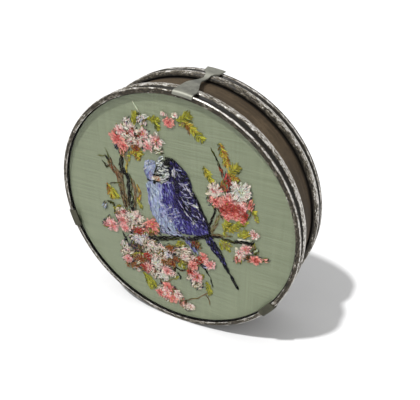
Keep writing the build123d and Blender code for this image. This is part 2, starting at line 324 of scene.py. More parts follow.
def window_glass():
    """Thin old glass: clear, with a weak reflection and faint smears."""
    g = Graph("window_glass")
    place = g.place()
    smear = g.noise(place, (22, 22, 60), detail=3.0, distortion=0.6)
    wave = g.noise(place, 14.0, detail=1.0)
    normal = g.bump(wave, 0.08 * MM, 0.3)
    haze = g.times(smear, 0.12)
    white = (1.0, 1.0, 1.0)
    gloss = g.node("BsdfGlossy", {"Color": white, "Roughness": haze, "Normal": normal})
    clear = g.node("BsdfTransparent", {"Color": (0.97, 0.985, 0.975)})
    slant = g.node("LayerWeight", {"Blend": 0.5, "Normal": normal}, out=1)
    share = g.scaled(g.math("POWER", slant, 5.0), 0.15, 0.004)
    return g.finish(g.node("MixShader", {0: share, 1: clear, 2: gloss}))


SILK_GREEN = srgb(127, 131, 108)
SILK_SHADE = srgb(106, 110, 88)
SILK_WEAVE = srgb(96, 104, 82)
SILK_CLOUD = srgb(148, 148, 118)


def green_silk():
    """Plain-woven silk: fine warp and weft, with slubs that run across."""
    g = Graph("green_silk")
    place = g.place()
    slub = g.noise(place, (16, 1, 900), detail=4.0, roughness=0.65)
    upright = g.noise(place, (700, 1, 14), detail=3.0)
    cloud = g.noise(place, 26.0, detail=2.0)
    threads = {"Vector": place, "Scale": 350.0, "Distortion": 0.6, "Detail": 1.0}
    weft = g.node("TexWave", threads, out=1, bands_direction="Z")
    warp = g.node("TexWave", threads, out=1, bands_direction="X")
    weave = g.times(g.math("ADD", weft, warp), 0.5)
    streak = g.math("ADD", g.times(slub, 0.7), g.times(upright, 0.3))
    colour = g.mix(g.step(streak, 0.36, 0.64), SILK_SHADE, SILK_GREEN)
    colour = g.mix(g.times(weave, 0.22), colour, SILK_WEAVE)
    colour = g.mix(g.times(cloud, 0.16), colour, SILK_CLOUD)
    height = g.scaled(slub, 0.6, weave)
    return g.principled(
        Base_Color=colour,
        Roughness=g.scaled(weave, 0.2, 0.52),
        Sheen_Weight=0.25,
        Sheen_Roughness=0.4,
        Normal=g.bump(height, 0.04 * MM, 0.5),
    )


def silk_floss(name):
    """Twisted floss: the thread's own colour, with strands along it and a soft shine."""
    g = Graph(name)
    colour = g.node("VertexColor", layer_name="floss")
    uv = g.uv("strand")
    strands = g.noise(uv, (0.35, 9.0, 1), detail=3.0, roughness=0.6)
    shade = g.mix(g.step(strands, 0.30, 0.62), (0.50, 0.48, 0.50), (1.15, 1.15, 1.12))
    return g.principled(
        Base_Color=g.mix(1.0, colour, shade, blend="MULTIPLY"),
        Roughness=g.scaled(strands, 0.25, 0.36),
        Specular_IOR_Level=0.07,
        Normal=g.bump(strands, 0.08 * MM, 0.6),
    )


# ---- Meshes ----


def round_points(count):
    """The cosine and sine of evenly spaced angles round the tin's axis."""
    turns = [2 * math.pi * k / count for k in range(count)]
    return [(math.cos(turn), math.sin(turn)) for turn in turns]


def add_mesh(name, node, verts, faces, body, mat, uvs=None, colours=None):
    """A smooth-shaded piece in a CAD node's place. uvs and colours are (layer name, values)."""
    mesh = bpy.data.meshes.new(name)
    mesh.from_pydata(verts, [], faces)
    mesh.materials.append(mat)
    if uvs:
        layer = mesh.uv_layers.new(name=uvs[0])
        layer.data.foreach_set("uv", np.asarray(uvs[1], np.float32).ravel())
    if colours:
        paint = mesh.color_attributes.new(colours[0], "FLOAT_COLOR", "POINT")
        paint.data.foreach_set("color", np.asarray(colours[1], np.float32).ravel())
    mesh.polygons.foreach_set("use_smooth", [True] * len(mesh.polygons))
    piece = bpy.data.objects.new(name, mesh)
    bpy.context.scene.collection.objects.link(piece)
    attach(piece, body)
    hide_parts(node)
    return piece


SHARPEST_KEPT = math.radians(35)


def dress(node, mat, bevel=0.0):
    """Gives a CAD node its material, and softens its edges if asked."""
    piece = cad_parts[node]
    for material_slot in piece.material_slots:
        material_slot.material = mat
    if bevel:
        rounding = piece.modifiers.new("worn_edges", "BEVEL")
        rounding.width = bevel
        rounding.segments = 2
        rounding.limit_method = "ANGLE"
        rounding.angle_limit = SHARPEST_KEPT


# ---- Hoops ----

HOOP_SEGMENTS = 900
LAND = 0.6 * MM  # height over FOOT_R at which the hoops' outermost arcs end
GROOVE_RISE = 0.9 * MM
SHEET = 0.8 * MM
LIP_SHEET = 0.42 * MM
WIRE_R = 1.3 * MM
CHANNEL_R = FOOT_R + 1.5 * MM
BEAD_REACH = math.sqrt(BEAD_R**2 - LAND**2)
HOOP_WIDE = rear_high.y - rear_low.y
LEAF_BEST = math.radians(15)  # where round the hoops the leaf is least worn
LIP_WORST = math.radians(50)  # where round the lip it is most worn
LEAF_KEPT = 0.68
LIP_KEPT = 0.62
KEPT_SWING = 0.30  # how much more or less is kept on the best and worst sides
LIP_LEAF = 0.42
WORN_IN = 0.10  # in millimetres at the crests: even wear, dents and raggedness
DENTED = 0.10
RAGGED = 0.07
WANDER = 0.10 * MM  # how far the crests wander to each side


def bead_arc(foot, middle, radius, first, last, amounts, count):
    """Points (radius, depth, leaf) round a bead, from its front (0) over its crest (90)."""
    angles, left = zip(*amounts)
    points = []
    for i in range(count):
        degrees = first + (last - first) * i / (count - 1)
        angle = math.radians(degrees)
        r = foot + radius * math.sin(angle)
        depth = middle - radius * math.cos(angle)
        points.append((r, depth, float(np.interp(degrees, angles, left))))
    return points


# How much leaf is left across each bead, as (angle, amount) pairs. Below 0 is painted shade for
# grooves and hollows.
BARE = ((0, 0.0), (180, 0.0))
WIRE_LEAF = ((0, 0.3), (20, 0.5), (34, 0.9), (70, 0.9), (86, 0.2), (98, -0.6), (180, -0.8))
WIDE_LEAF = ((22, -0.9), (40, -0.7), (46, 0.7), (112, 0.86), (130, 0.6), (172, 0.1))
OUTER_LEAF = ((0, 0.1), (40, 0.35), (50, 0.8), (64, 0.76), (74, -0.5), (90, -0.5), (98, 0.8),
              (114, 0.76), (124, -0.7), (170, -1.0))
INNER_LEAF = ((10, -1.0), (52, -0.9), (64, 0.3), (72, 0.8), (104, 0.8), (122, 0.5), (150, 0.3),
              (172, 0.0))


def front_outline():
    """The lid's hoop: flat lip, wired edge, wide groove, one bead. (radius, depth, leaf)."""
    inner = BEAD_R - SHEET
    seat = CHANNEL_R - SHEET
    bead_mid = HOOP_WIDE - BEAD_REACH
    wire_foot = HOOP_R - WIRE_R
    first = math.degrees(math.asin((CHANNEL_R - FOOT_R) / BEAD_R))
    last = 180 - math.degrees(math.asin(LAND / BEAD_R))
    hollow = math.degrees(math.asin((seat - FOOT_R) / inner))
    outline = [(FOOT_R, LIP_SHEET, 0.2), (FOOT_R, 0.0, 1.0), (FOOT_R + 0.3 * MM, 0.0, 0.9)]
    outline += [(FOOT_R + r * MM, 0.0, LIP_LEAF) for r in (0.6, 1.1, 1.6, 2.1)]
    outline += bead_arc(wire_foot, WIRE_R, WIRE_R, 0, 180, WIRE_LEAF, 13)
    channel_mid = (2 * WIRE_R + bead_mid - BEAD_R) / 2
    outline.append((CHANNEL_R, 2 * WIRE_R + 0.4 * MM, -0.8))
    for beyond, leaf in ((-0.3, 0.1), (0.1, 0.6), (0.6, -0.8)):
        outline.append((CHANNEL_R, channel_mid + beyond * MM, leaf))
    outline += bead_arc(FOOT_R, bead_mid, BEAD_R, first, last, WIDE_LEAF, 21)
    outline.append((FOOT_R, HOOP_WIDE, 0.0))
    outline += bead_arc(FOOT_R, bead_mid, inner, 180, hollow, BARE, 7)
    outline.append((seat, LIP_SHEET, 0.0))
    return outline


def rear_outline():
    """The drum's hoop: two half-round beads, told from the rear rim forwards."""
    land = math.degrees(math.asin(LAND / BEAD_R))
    floor = math.degrees(math.asin(GROOVE_RISE / BEAD_R))
    middles = (BEAD_REACH, BEAD_REACH + 2 * BEAD_R)
    outline = [(FOOT_R, 0.0, 0.0)]
    outline += bead_arc(FOOT_R, middles[0], BEAD_R, land, 180 - floor, OUTER_LEAF, 19)
    outline += bead_arc(FOOT_R, middles[1], BEAD_R, floor, 180 - land, INNER_LEAF, 19)
    outline.append((FOOT_R, HOOP_WIDE, 0.0))
    for middle in reversed(middles):
        outline += bead_arc(FOOT_R, middle, BEAD_R - SHEET, 180, 0, BARE, 7)
    return outline


def make_hoop(node, outline, y_front, body, mirrored, mat, seed):
    """A pressed hoop with slightly uneven beads."""
    if mirrored:
        outline = [(r, HOOP_WIDE - depth, leaf) for r, depth, leaf in outline]
    along = [0.0]
    for (r0, d0, _), (r1, d1, _) in zip(outline, outline[1:] + outline[:1]):
        along.append(along[-1] + math.hypot(r1 - r0, d1 - d0))
    count = len(outline)
    verts, colours = [], []
    for k in range(HOOP_SEGMENTS):
        angle = SEAM_ANGLE + 2 * math.pi * k / HOOP_SEGMENTS
        c, s = math.cos(angle), math.sin(angle)
        for j, (r, depth, amount) in enumerate(outline):
            rise = max(0.0, (r - FOOT_R) / BEAD_R)
            # Dents about 15 mm long with smaller ones in them, then grain of about 2.5 mm
            seat = Vector((c * 5, s * 5, depth * 130 + seed))
            dent = noise.noise(seat * 1.4) * 0.5 + noise.noise(seat * 5.0) * 0.3
            ragged = noise.noise(Vector((c * 40, s * 40, depth * 420 + seed)))
            sink = (WORN_IN + DENTED * dent + RAGGED * ragged) * rise * MM
            slip = WANDER * noise.noise(seat * 2.2) * min(1.0, rise * 1.4)
            radius = r - max(0.0, sink)
            y = y_front + min(max(depth + slip, 0.0), HOOP_WIDE)
            verts.append((radius * c, y, AXIS_Z + radius * s))
            kept = LEAF_KEPT + KEPT_SWING * math.cos(angle - LEAF_BEST)
            if depth < 0.1 * MM and not mirrored:
                kept = LIP_KEPT - KEPT_SWING * math.cos(angle - LIP_WORST)
            thin = noise.noise(Vector((c * 2.2, s * 2.2, seed * 3 + j * 0.05))) * 0.3
            level = min(1.0, max(0.0, amount * (kept + thin)))
            # Painted shade low down between the beads, but not on the lip
            low = (FOOT_R + 1.5 * MM - r) / (1.1 * MM)
            painted_shade = min(1.0, max(0.0, low)) if depth > 2.7 * MM or mirrored else 0.0
            # Wear colours: leaf left, then painted shade
            colours.append((level, max(painted_shade, -amount), 0.0, 1.0))
    faces, uvs = [], []
    for k in range(HOOP_SEGMENTS):
        u0 = HOOP_R * 2 * math.pi * k / HOOP_SEGMENTS
        u1 = HOOP_R * 2 * math.pi * (k + 1) / HOOP_SEGMENTS
        here, there = k * count, (k + 1) % HOOP_SEGMENTS * count
        for j in range(count):
            nxt = (j + 1) % count
            quad = [here + j, there + j, there + nxt, here + nxt]
            corner = [(u0, along[j]), (u1, along[j]), (u1, along[j + 1]), (u0, along[j + 1])]
            if mirrored:
                quad.reverse()
                corner.reverse()
            faces.append(quad)
            uvs.extend(corner)
    wear = ("wear", colours)
    name = node + "_worn"
    add_mesh(name, node, verts, faces, body, mat, ("round", uvs), wear)


# ---- Glass and silk ----

GLASS_RINGS = 60
GLASS_SPOKES = 240
GLASS_EDGE = 0.3 * MM  # ground off all round
GLASS_WAVE = 0.03 * MM
SILK_RINGS = 110
SILK_SPOKES = 360
SILK_SAG = 0.06 * MM
SILK_HELD = 8 * MM  # from the edge inwards, the silk takes this far to sag


def ring_faces(inner, outer, count):
    """Faces between two rings of points, given by their first points."""
    faces = []
    for k in range(count):
        after = (k + 1) % count
        faces.append((inner + k, outer + k, outer + after, inner + after))
    return faces


def disc_faces(base, rings, count):
    """Faces of a disc: its middle point is base, and its rings of points follow."""
    faces = [(base, base + 1 + k, base + 1 + (k + 1) % count) for k in range(count)]
    for ring in range(1, rings):
        inner = base + 1 + (ring - 1) * count
        faces += ring_faces(inner, inner + count, count)
    return faces


def make_glass(mat):
    """Old drawn glass, very slightly wavy, with its edge ground."""
    low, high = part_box("glass_pane")
    radius = high.x
    around = round_points(GLASS_SPOKES)
    verts, faces = [], []
    for y_face, side in ((low.y, 1), (high.y, -1)):
        base = len(verts)
        verts.append((0.0, y_face, AXIS_Z))
        for i in range(1, GLASS_RINGS + 1):
            r = (radius - GLASS_EDGE) * i / GLASS_RINGS
            for c, s in around:
                x, z = r * c, r * s
                wave = 0.5 + 0.5 * noise.noise(Vector((x * 22, y_face * 90, z * 15)))
                verts.append((x, y_face + side * GLASS_WAVE * wave, AXIS_Z + z))
        faces += [face[::side] for face in disc_faces(base, GLASS_RINGS, GLASS_SPOKES)]
    rim = len(verts)
    for y in (low.y + GLASS_EDGE, high.y - GLASS_EDGE):
        verts += [(radius * c, y, AXIS_Z + radius * s) for c, s in around]
    per_face = 1 + GLASS_RINGS * GLASS_SPOKES
    loops = (per_face - GLASS_SPOKES, rim, rim + GLASS_SPOKES, 2 * per_face - GLASS_SPOKES)
    for first, second in zip(loops, loops[1:]):
        faces += ring_faces(first, second, GLASS_SPOKES)
    add_mesh("glass", "glass_pane", verts, faces, "lid", mat)


def make_silk(mat):
    """Stretched silk, held flat at its edge and a little uneven within."""
    around = round_points(SILK_SPOKES)
    verts = [(0.0, SILK_Y, AXIS_Z)]
    for i in range(1, SILK_RINGS + 1):
        r = SILK_R * i / SILK_RINGS
        edge = min(1.0, (SILK_R - r) / SILK_HELD)
        for c, s in around:
            x, z = r * c, r * s
            pull = noise.noise(Vector((x * 60, 0, z * 90))) * 0.6
            fine = noise.noise(Vector((x * 230, 7, z * 260))) * 0.4
            verts.append((x, SILK_Y + SILK_SAG * (1 + pull + fine) * edge, AXIS_Z + z))
    faces = disc_faces(0, SILK_RINGS, SILK_SPOKES)
    piece = add_mesh("silk", "silk_ground", verts, faces, "lid", mat)


# ---- Needlework ----

random.seed(1871)

# Colours of floss, as 0 to 255 values
FLOSS = {
    "black": (13, 11, 12), "soft_black": (27, 24, 24), "bark": (50, 39, 28),
    "brown": (104, 78, 54), "tan": (142, 116, 88), "olive_brown": (96, 84, 48),
    "rust": (134, 58, 32), "dark_red": (98, 32, 24), "crimson": (170, 54, 46),
    "orange_brown": (150, 92, 40), "coral": (218, 114, 110), "deep_coral": (190, 76, 76),
    "salmon": (226, 150, 140), "pink": (226, 160, 160), "pale_pink": (226, 192, 188),
    "rose": (205, 112, 118), "white": (219, 214, 204), "cream": (216, 202, 180),
    "mist": (196, 190, 196), "pale_green": (186, 196, 170), "olive": (136, 130, 42),
    "yellow_green": (184, 180, 66), "gold": (196, 172, 62), "grey_olive": (126, 124, 80),
    "moss": (80, 82, 32), "lavender": (150, 154, 192), "grey_blue": (140, 151, 178),
    "pale_grey": (184, 190, 202), "lilac": (176, 168, 208), "slate": (106, 110, 158),
    "mauve": (146, 126, 150), "violet": (86, 78, 154), "deep_violet": (56, 47, 116),
    "indigo": (34, 26, 76), "plum": (46, 34, 64), "ink": (14, 11, 26),
    "face_white": (222, 220, 214), "ash": (150, 148, 154), "beak": (150, 98, 72),
    "beak_pale": (196, 164, 146),
}
BARK = ("black", "black", "soft_black", "bark")
BARK_TAN = ("bark", "brown", "tan", "tan", "olive_brown")
BARK_RED = ("brown", "tan", "rust", "bark")
TWIG = ("tan", "olive_brown", "brown")
LEAF_OLIVE = ("olive", "yellow_green", "olive", "moss")
LEAF_BRIGHT = ("yellow_green", "gold", "olive", "moss")
LEAF_GOLD = ("gold", "yellow_green", "orange_brown", "moss")
LEAF_SOFT = ("grey_olive", "yellow_green", "olive", "tan")
CORAL = ("deep_coral", "coral", "coral", "salmon", "salmon")
ROSE = ("rose", "coral", "pink", "pink", "pale_pink")
PINK = ("deep_coral", "pink", "pale_pink", "pink", "white")
WHITE_PINK = ("rose", "pale_pink", "white", "pale_pink", "cream")
WHITE = ("pale_green", "mist", "white", "pale_pink", "white")
CREAM = ("tan", "cream", "white", "cream", "pale_pink")
RED = ("dark_red", "crimson", "crimson", "rust", "deep_coral")
BROWN = ("bark", "rust", "brown", "orange_brown")
AMBER = ("dark_red", "rust", "orange_brown", "rust", "tan")
MIST = ("lilac", "mist", "white", "pale_pink", "mist")
TANGLE = ("rust", "brown", "moss", "tan", "bark", "olive", "plum")
LOOSE_ENDS = ("rust", "bark", "dark_red", "white", "cream", "brown", "pink")
HEARTS = ("dark_red", "rust", "gold")
DARK = ("black", "black", "soft_black")
PALE_BARBS = ("lilac", "mist", "ash", "lilac")
BLUE_GREY = ("lavender", "grey_blue")

# Sections across a stitch, as (place, lift, share of its roll) from one edge to the other
ROUND_SECTION = ((-1.0, -0.12, -1.0), (-0.45, 0.1, -0.5), (0.45, 0.1, 0.5), (1.0, -0.12, 1.0))
PLAIN_SECTION = ((-1.0, -0.12, -1.0), (0.0, 0.12, 0.0), (1.0, -0.12, 1.0))
CLEAR_OF_GLASS = 1.3  # highest that a stitch may reach over the silk
SHORTEST = 0.3  # a stitch shorter than this is left out
PETALS = 5
PICTURE_RIGHT = 0.9  # the needlework's middle from the tin's axis
PICTURE_UP = 1.3


def shade_at(shades, place, stray):
    """The shade at a place counted along the shades, moved a little at random."""
    return shades[min(len(shades) - 1, max(0, int(place + random.gauss(0, stray))))]


class Needlework:
    """Stitches gathered into one mesh. Each is a short arched strip that lies on the silk.

    Lengths and places are in millimetres, and a stitch's angle is in radians.
    """

    def __init__(self, name, node, bottom, rows=4, section=ROUND_SECTION):
        self.name = name
        self.node = node
        self.rows = rows
        self.section = section
        self.bottom = bottom  # height over the silk of its first stitches
        self.climb = 0.0  # later stitches lie on earlier ones
        self.verts, self.faces, self.uvs, self.colours = [], [], [], []

    def stitch(self, u0, v0, u1, v1, colour, width=0.7, arch=0.16, bow=0.0):
        """One stitch from (u0, v0) to (u1, v1), bowed sideways by bow."""
        length = math.hypot(u1 - u0, v1 - v0)
        if length < SHORTEST:
            return
        nu, nv = -(v1 - v0) / length, (u1 - u0) / length
        level = self.bottom + self.climb + random.uniform(0, 0.14)
        value = random.choice((0.5, 0.75, 0.95, 1.0, 1.15)) * random.uniform(0.9, 1.1)
        roll = random.gauss(0, 0.12)
        tint = [min(1.0, c * value * random.uniform(0.96, 1.04)) for c in srgb(*FLOSS[colour])]
        first = len(self.verts)
        shift = random.uniform(0, 40)
        for row in range(self.rows + 1):
            t = row / self.rows
            swell = math.sin(math.pi * (0.14 + 0.72 * t)) ** 0.7
            half = width / 2 * swell
            middle_u = u0 + (u1 - u0) * t + nu * bow * 4 * t * (1 - t)
            middle_v = v0 + (v1 - v0) * t + nv * bow * 4 * t * (1 - t)
            high = level + arch * math.sin(math.pi * t) ** 0.6
            for across, lift, share in self.section:
                u = middle_u + nu * half * across
                v = middle_v + nv * half * across
                self.verts.append(on_silk(u, v, high + lift + roll * share))
                self.colours.append((*tint, 1))
        wide = len(self.section)
        for row in range(self.rows):
            x0, x1 = shift + length * row / self.rows, shift + length * (row + 1) / self.rows
            for col in range(wide - 1):
                a = first + row * wide + col
                self.faces.append((a, a + wide, a + wide + 1, a + 1))
                y0, y1 = shift + col / (wide - 1), shift + (col + 1) / (wide - 1)
                self.uvs.extend([(x0, y0), (x1, y0), (x1, y1), (x0, y1)])

    def lay(self, u, v, angle, long, colour, width=0.7, **how):
        """One stitch about its middle."""
        du, dv = math.cos(angle) * long / 2, math.sin(angle) * long / 2
        self.stitch(u - du, v - dv, u + du, v + dv, colour, width, **how)

    def knot(self, u, v, r, colour):
        """A French knot: three short bowed stitches laid over each other."""
        turn = random.uniform(0, math.pi)
        for i in range(3):
            angle = turn + i * math.pi / 3
            self.lay(u, v, angle, 2 * r, colour, r * 1.1, arch=0.3, bow=r * 0.3)

    def oval(self, u, v, ru, rv, shades, way=None, length=3.6, width=0.75, cover=1.7):
        """An oval filled with stitches that run one way, or fan out from its middle."""
        count = max(3, int(cover * math.pi * ru * rv / (length * width)))
        for _ in range(count):
            reach = math.sqrt(random.random())
            angle = random.uniform(0, 2 * math.pi)
            cu, cv = u + ru * reach * math.cos(angle), v + rv * reach * math.sin(angle)
            if way is None:
                aim = math.atan2(cv - v, cu - u) + random.gauss(0, 0.35)
            else:
                aim = math.radians(way) + random.gauss(0, 0.22)
            long = length * random.uniform(0.6, 1.15)
            shade = shade_at(shades, reach * len(shades), 0.8)
            wide = width * random.uniform(0.8, 1.2)
            self.lay(cu, cv, aim, long, shade, wide, bow=random.gauss(0, 0.25))
        self.climb += 0.002

    def blossom(self, u, v, r, shades, heart):
        """A blossom: loose petals of short stitches round a heart of knots."""
        start = random.uniform(0, 2 * math.pi)
        for petal in range(PETALS):
            aim = start + 2 * math.pi * (petal + random.uniform(-0.2, 0.2)) / PETALS
            far = r * random.uniform(0.8, 1.15)
            half = r * random.uniform(0.34, 0.5)
            ca, sa = math.cos(aim), math.sin(aim)
            for _ in range(int(5 + r * 2.6)):
                along = random.uniform(0.12, 1.0)
                across = random.uniform(-1, 1) * half * math.sin(math.pi * (0.08 + 0.86 * along))
                cu = u + ca * far * along * 0.9 - sa * across
                cv = v + sa * far * along * 0.9 + ca * across
                angle = aim + across / half * 0.5 + random.gauss(0, 0.3)
                long = min(3.4, r * random.uniform(0.26, 0.5))
                shade = shade_at(shades, along * 5, 1.0)
                wide = random.uniform(0.45, 0.9)
                self.lay(cu, cv, angle, long, shade, wide, bow=random.gauss(0, 0.3))
        for _ in range(max(2, int(r * 0.7))):
            angle = random.uniform(0, 2 * math.pi)
            away = r * 0.2 * random.random()
            self.knot(u + away * math.cos(angle), v + away * math.sin(angle), 0.4, heart)
        self.climb += 0.003

    def leaf(self, u0, v0, u1, v1, wide, shades):
        """A leaf from stem to tip: slanted stitches each side of a midrib."""
        length = math.hypot(u1 - u0, v1 - v0)
        au, av = (u1 - u0) / length, (v1 - v0) / length
        rows = int(length / 0.45)
        for i in range(rows):
            t = (i + random.uniform(-0.5, 0.5)) / rows
            half = wide / 2 * math.sin(math.pi * min(1.0, t * 0.9 + 0.08)) ** 0.75
            for side, darker in ((-1, 1), (1, 0)):
                su, sv = u0 + (u1 - u0) * t, v0 + (v1 - v0) * t
                lean = half * random.uniform(0.2, 1.6)
                eu = su + au * lean - av * side * half * random.uniform(0.5, 1.25)
                ev = sv + av * lean + au * side * half * random.uniform(0.5, 1.25)
                shade = shades[darker + random.choice((0, 1, 2))]
                self.stitch(su, sv, eu, ev, shade, 0.62, bow=0.15 * side)
        self.line([(u0, v0), (u1, v1)], 0.4, (shades[2],), cover=0.8)
        self.climb += 0.002

    def line(self, points, width, shades, length=4.0, cover=1.9, thread=0.65):
        """Stitches laid along a bent line."""
        for (u0, v0), (u1, v1) in zip(points, points[1:]):
            run = math.hypot(u1 - u0, v1 - v0)
            aim = math.atan2(v1 - v0, u1 - u0)
            count = max(1, int(cover * run * max(width, thread) / (length * thread)) + 1)
            for _ in range(count):
                t = random.random()
                side = random.uniform(-0.5, 0.5) * max(0.0, width - thread * 0.6)
                cu = u0 + (u1 - u0) * t - math.sin(aim) * side
                cv = v0 + (v1 - v0) * t + math.cos(aim) * side
                angle = aim + random.gauss(0, 0.10)
                long = min(length, run * 1.1) * random.uniform(0.7, 1.15)
                shade = random.choice(shades)
                self.lay(cu, cv, angle, long, shade, thread, bow=random.gauss(0, 0.15))
        self.climb += 0.0015

    def lines(self, table, **how):
        for width, shades, *points in table:
            self.line(points, width, shades, **how)

    def region(self, outline, shades, way, length=3.4, width=0.72, cover=2.0, stray=0.18):
        """An outline filled with stitches.

        shades holds colours, or gives them for a place. way is a direction in degrees, or
        gives it for a place.
        """
        us, vs = zip(*outline)
        pairs = zip(outline[-1:] + outline[:-1], outline)
        area = abs(sum(u0 * v1 - u1 * v0 for (u0, v0), (u1, v1) in pairs)) / 2
        wanted = int(cover * area / (length * width))
        made = 0
        for _ in range(wanted * 12):
            if made >= wanted:
                break
            u = random.uniform(min(us), max(us))
            v = random.uniform(min(vs), max(vs))
            if not inside(outline, u, v):
                continue
            angle = math.radians(way(u, v) if callable(way) else way) + random.gauss(0, stray)
            long = length * random.uniform(0.65, 1.15)
            for _ in range(3):
                du, dv = math.cos(angle) * long / 2, math.sin(angle) * long / 2
                if inside(outline, u - du, v - dv) and inside(outline, u + du, v + dv):
                    break
                long *= 0.6
            else:
                continue
            shade = random.choice(shades(u, v) if callable(shades) else shades)
            wide = width * random.uniform(0.8, 1.15)
            self.lay(u, v, angle, long, shade, wide, bow=random.gauss(0, 0.15))
            made += 1
        self.climb += 0.01

    def make(self, mat):
        strand, floss = ("strand", self.uvs), ("floss", self.colours)
        add_mesh(self.name, self.node, self.verts, self.faces, "lid", mat, strand, floss)


def on_silk(u, v, height):
    """World place of a picture point, height millimetres in front of the silk."""
    high = min(CLEAR_OF_GLASS, max(0.0, height))
    return ((u + PICTURE_RIGHT) * MM, SILK_Y - high * MM, AXIS_Z + (v + PICTURE_UP) * MM)


def inside(outline, u, v):
    """True if a picture point lies inside a closed outline."""
    hit = False
    for i in range(len(outline)):
        (u0, v0), (u1, v1) = outline[i - 1], outline[i]
        if (v0 > v) != (v1 > v) and u < (u1 - u0) * (v - v0) / (v1 - v0) + u0:
            hit = not hit
    return hit


# Lines of stitches, as (width, shades, points from end to end)
TRUNK = [
    # Trunk, its left fork and twigs
    (6.5, BARK_TAN, (-47, 28), (-48, 20), (-46, 8), (-44, -4)),
    (3.0, BARK_TAN, (-36, 24), (-34, 14), (-35, 4), (-36, -3)),
    (4.0, ("tan", "gold", "orange_brown", "grey_olive"), (-33, 20), (-30, 12), (-33, 4)),
    (5.5, BARK_RED, (-57, 37), (-54, 31), (-50, 26), (-46, 20)),
    (2.6, ("tan", "gold", "grey_olive"), (-42, 46), (-40, 38), (-41, 30)),
    (4.2, ("black", "black", "bark"), (-45, 47), (-44.5, 40), (-46, 34), (-45, 28)),
    (4.0, ("black", "soft_black"), (-46, 28.5), (-40, 27.5)),
    (3.2, BARK, (-47, 28), (-42, 27), (-40, 22), (-41, 12), (-41, 4), (-39, -2), (-37, -8)),
    (1.4, BARK, (-45, 8), (-45.5, 2), (-44, -4)),
]
# Stems, perch and twigs over the trunk
TWIGS = [
    (1.2, ("bark", "moss"), (-38, 26), (-36.5, 19), (-38, 12), (-36, 4), (-37, -1)),
    (0.9, ("moss", "bark"), (-58, 15), (-52, 17), (-46, 18)),
    (2.2, ("black", "bark", "moss"), (-60, 40), (-58, 37), (-57, 34)),
    (2.0, ("black", "bark", "moss"), (-63, 33), (-60, 30), (-57, 31)),
    (1.3, ("moss", "grey_olive"), (-67, 38), (-62, 39)),
    (1.0, ("moss", "grey_olive"), (-59, 45), (-57, 40)),
    # Stems low on the left
    (1.6, BARK, (-57, -4), (-57, -12), (-55, -18), (-53.5, -24)),
    (2.0, ("black", "soft_black"), (-52, -30), (-49, -35), (-46.5, -41), (-47, -45)),
    (1.8, ("black", "plum"), (-51, -40), (-48, -36)),
    (2.0, BARK, (-39, -21), (-42, -25), (-43, -35)),
    (2.2, ("black", "bark"), (-43, -35), (-38, -38), (-33, -39)),
    (1.4, ("plum", "bark"), (-37, -13), (-35, -19)),
    # Perch
    (1.8, BARK, (-27, -40), (-25, -34), (-22, -30)),
    (4.8, BARK, (-23, -30), (-18, -27), (-10, -24.5), (-3, -22), (4, -18.5)),
    (1.6, ("black", "moss"), (-22, -29.5), (-12, -26.4), (-2, -23), (4, -19)),
    (3.8, BARK, (4, -18), (10, -18), (17, -17), (22, -12.5), (28, -9)),
    (3.6, ("black", "soft_black", "bark"), (28, -9), (34, -9), (40, -7)),
    (2.4, ("moss", "bark", "black"), (39, -7), (46, -8), (54, -8)),
    (3.0, BARK, (53, -7), (60, -5.5), (66, -6), (68, -2.5)),
    (1.0, ("white", "cream"), (55, -4.6), (60, -3.4), (64, -3)),
    (2.2, ("tan", "brown", "grey_olive"), (35, -7), (42, -5), (50, -3)),
    # Stem up to the right-hand blossoms
    (3.2, ("tan", "grey_olive", "brown"), (33, -5), (37, 4), (39, 12)),
    (2.2, BARK, (32, -6), (31, 1), (34, 8), (36, 15), (36, 20)),
    (1.6, ("brown", "bark"), (36, 20), (40, 15), (42, 10)),
    (1.6, ("soft_black", "moss", "bark"), (33, 65), (36, 60), (40, 52)),
    (2.6, ("bark", "rust"), (40, 52), (42, 46)),
    (1.6, ("tan", "gold"), (41, 68), (43, 60), (45, 53)),
    # Low stems
    (1.5, ("brown", "rust", "bark"), (-16, -54), (-17, -62), (-16, -69), (-15, -73)),
    (1.4, ("tan", "grey_olive"), (-15, -74), (-9, -69), (-3, -64)),
    (1.1, TWIG, (8, -84), (14, -80), (20, -77), (26, -71), (30, -67)),
    (0.8, ("grey_olive", "olive"), (30, -67), (31, -60), (30, -55)),
    (0.8, TWIG, (28, -70), (31, -74), (32, -79)),
    (1.8, ("bark", "brown", "black"), (0, -50), (5, -52), (10, -51)),
    (1.8, ("black", "dark_red"), (-1, -51), (-1.2, -56)),
    (1.6, ("black", "soft_black"), (2, -56), (4.5, -58), (4, -61)),
    (1.3, ("black", "bark"), (23, -38), (26, -42), (29, -44)),
]
# Places on the black fork that are knobbly
KNOBS = [(-44, 31), (-42, 29), (-40, 25), (-38, 21), (-41, 17), (-39, 13), (-40, 8), (-38, 3)]
LOOSE_THREAD = [(0.45, ("pale_green", "cream"), (-31, 90.5), (-27, 85), (-24, 80.5), (-20.5, 75))]


def sew_branches(mat):
    work = Needlework("branches", "embroidery_branch", 0.05)
    work.lines(TRUNK)
    work.climb += 0.05
    for u, v in KNOBS:
        work.oval(u, v, 1.6, 2.0, DARK, way=70, length=2.4, cover=1.6)
    work.lines(TWIGS)
    work.lines(LOOSE_THREAD, thread=0.4)
    work.make(mat)


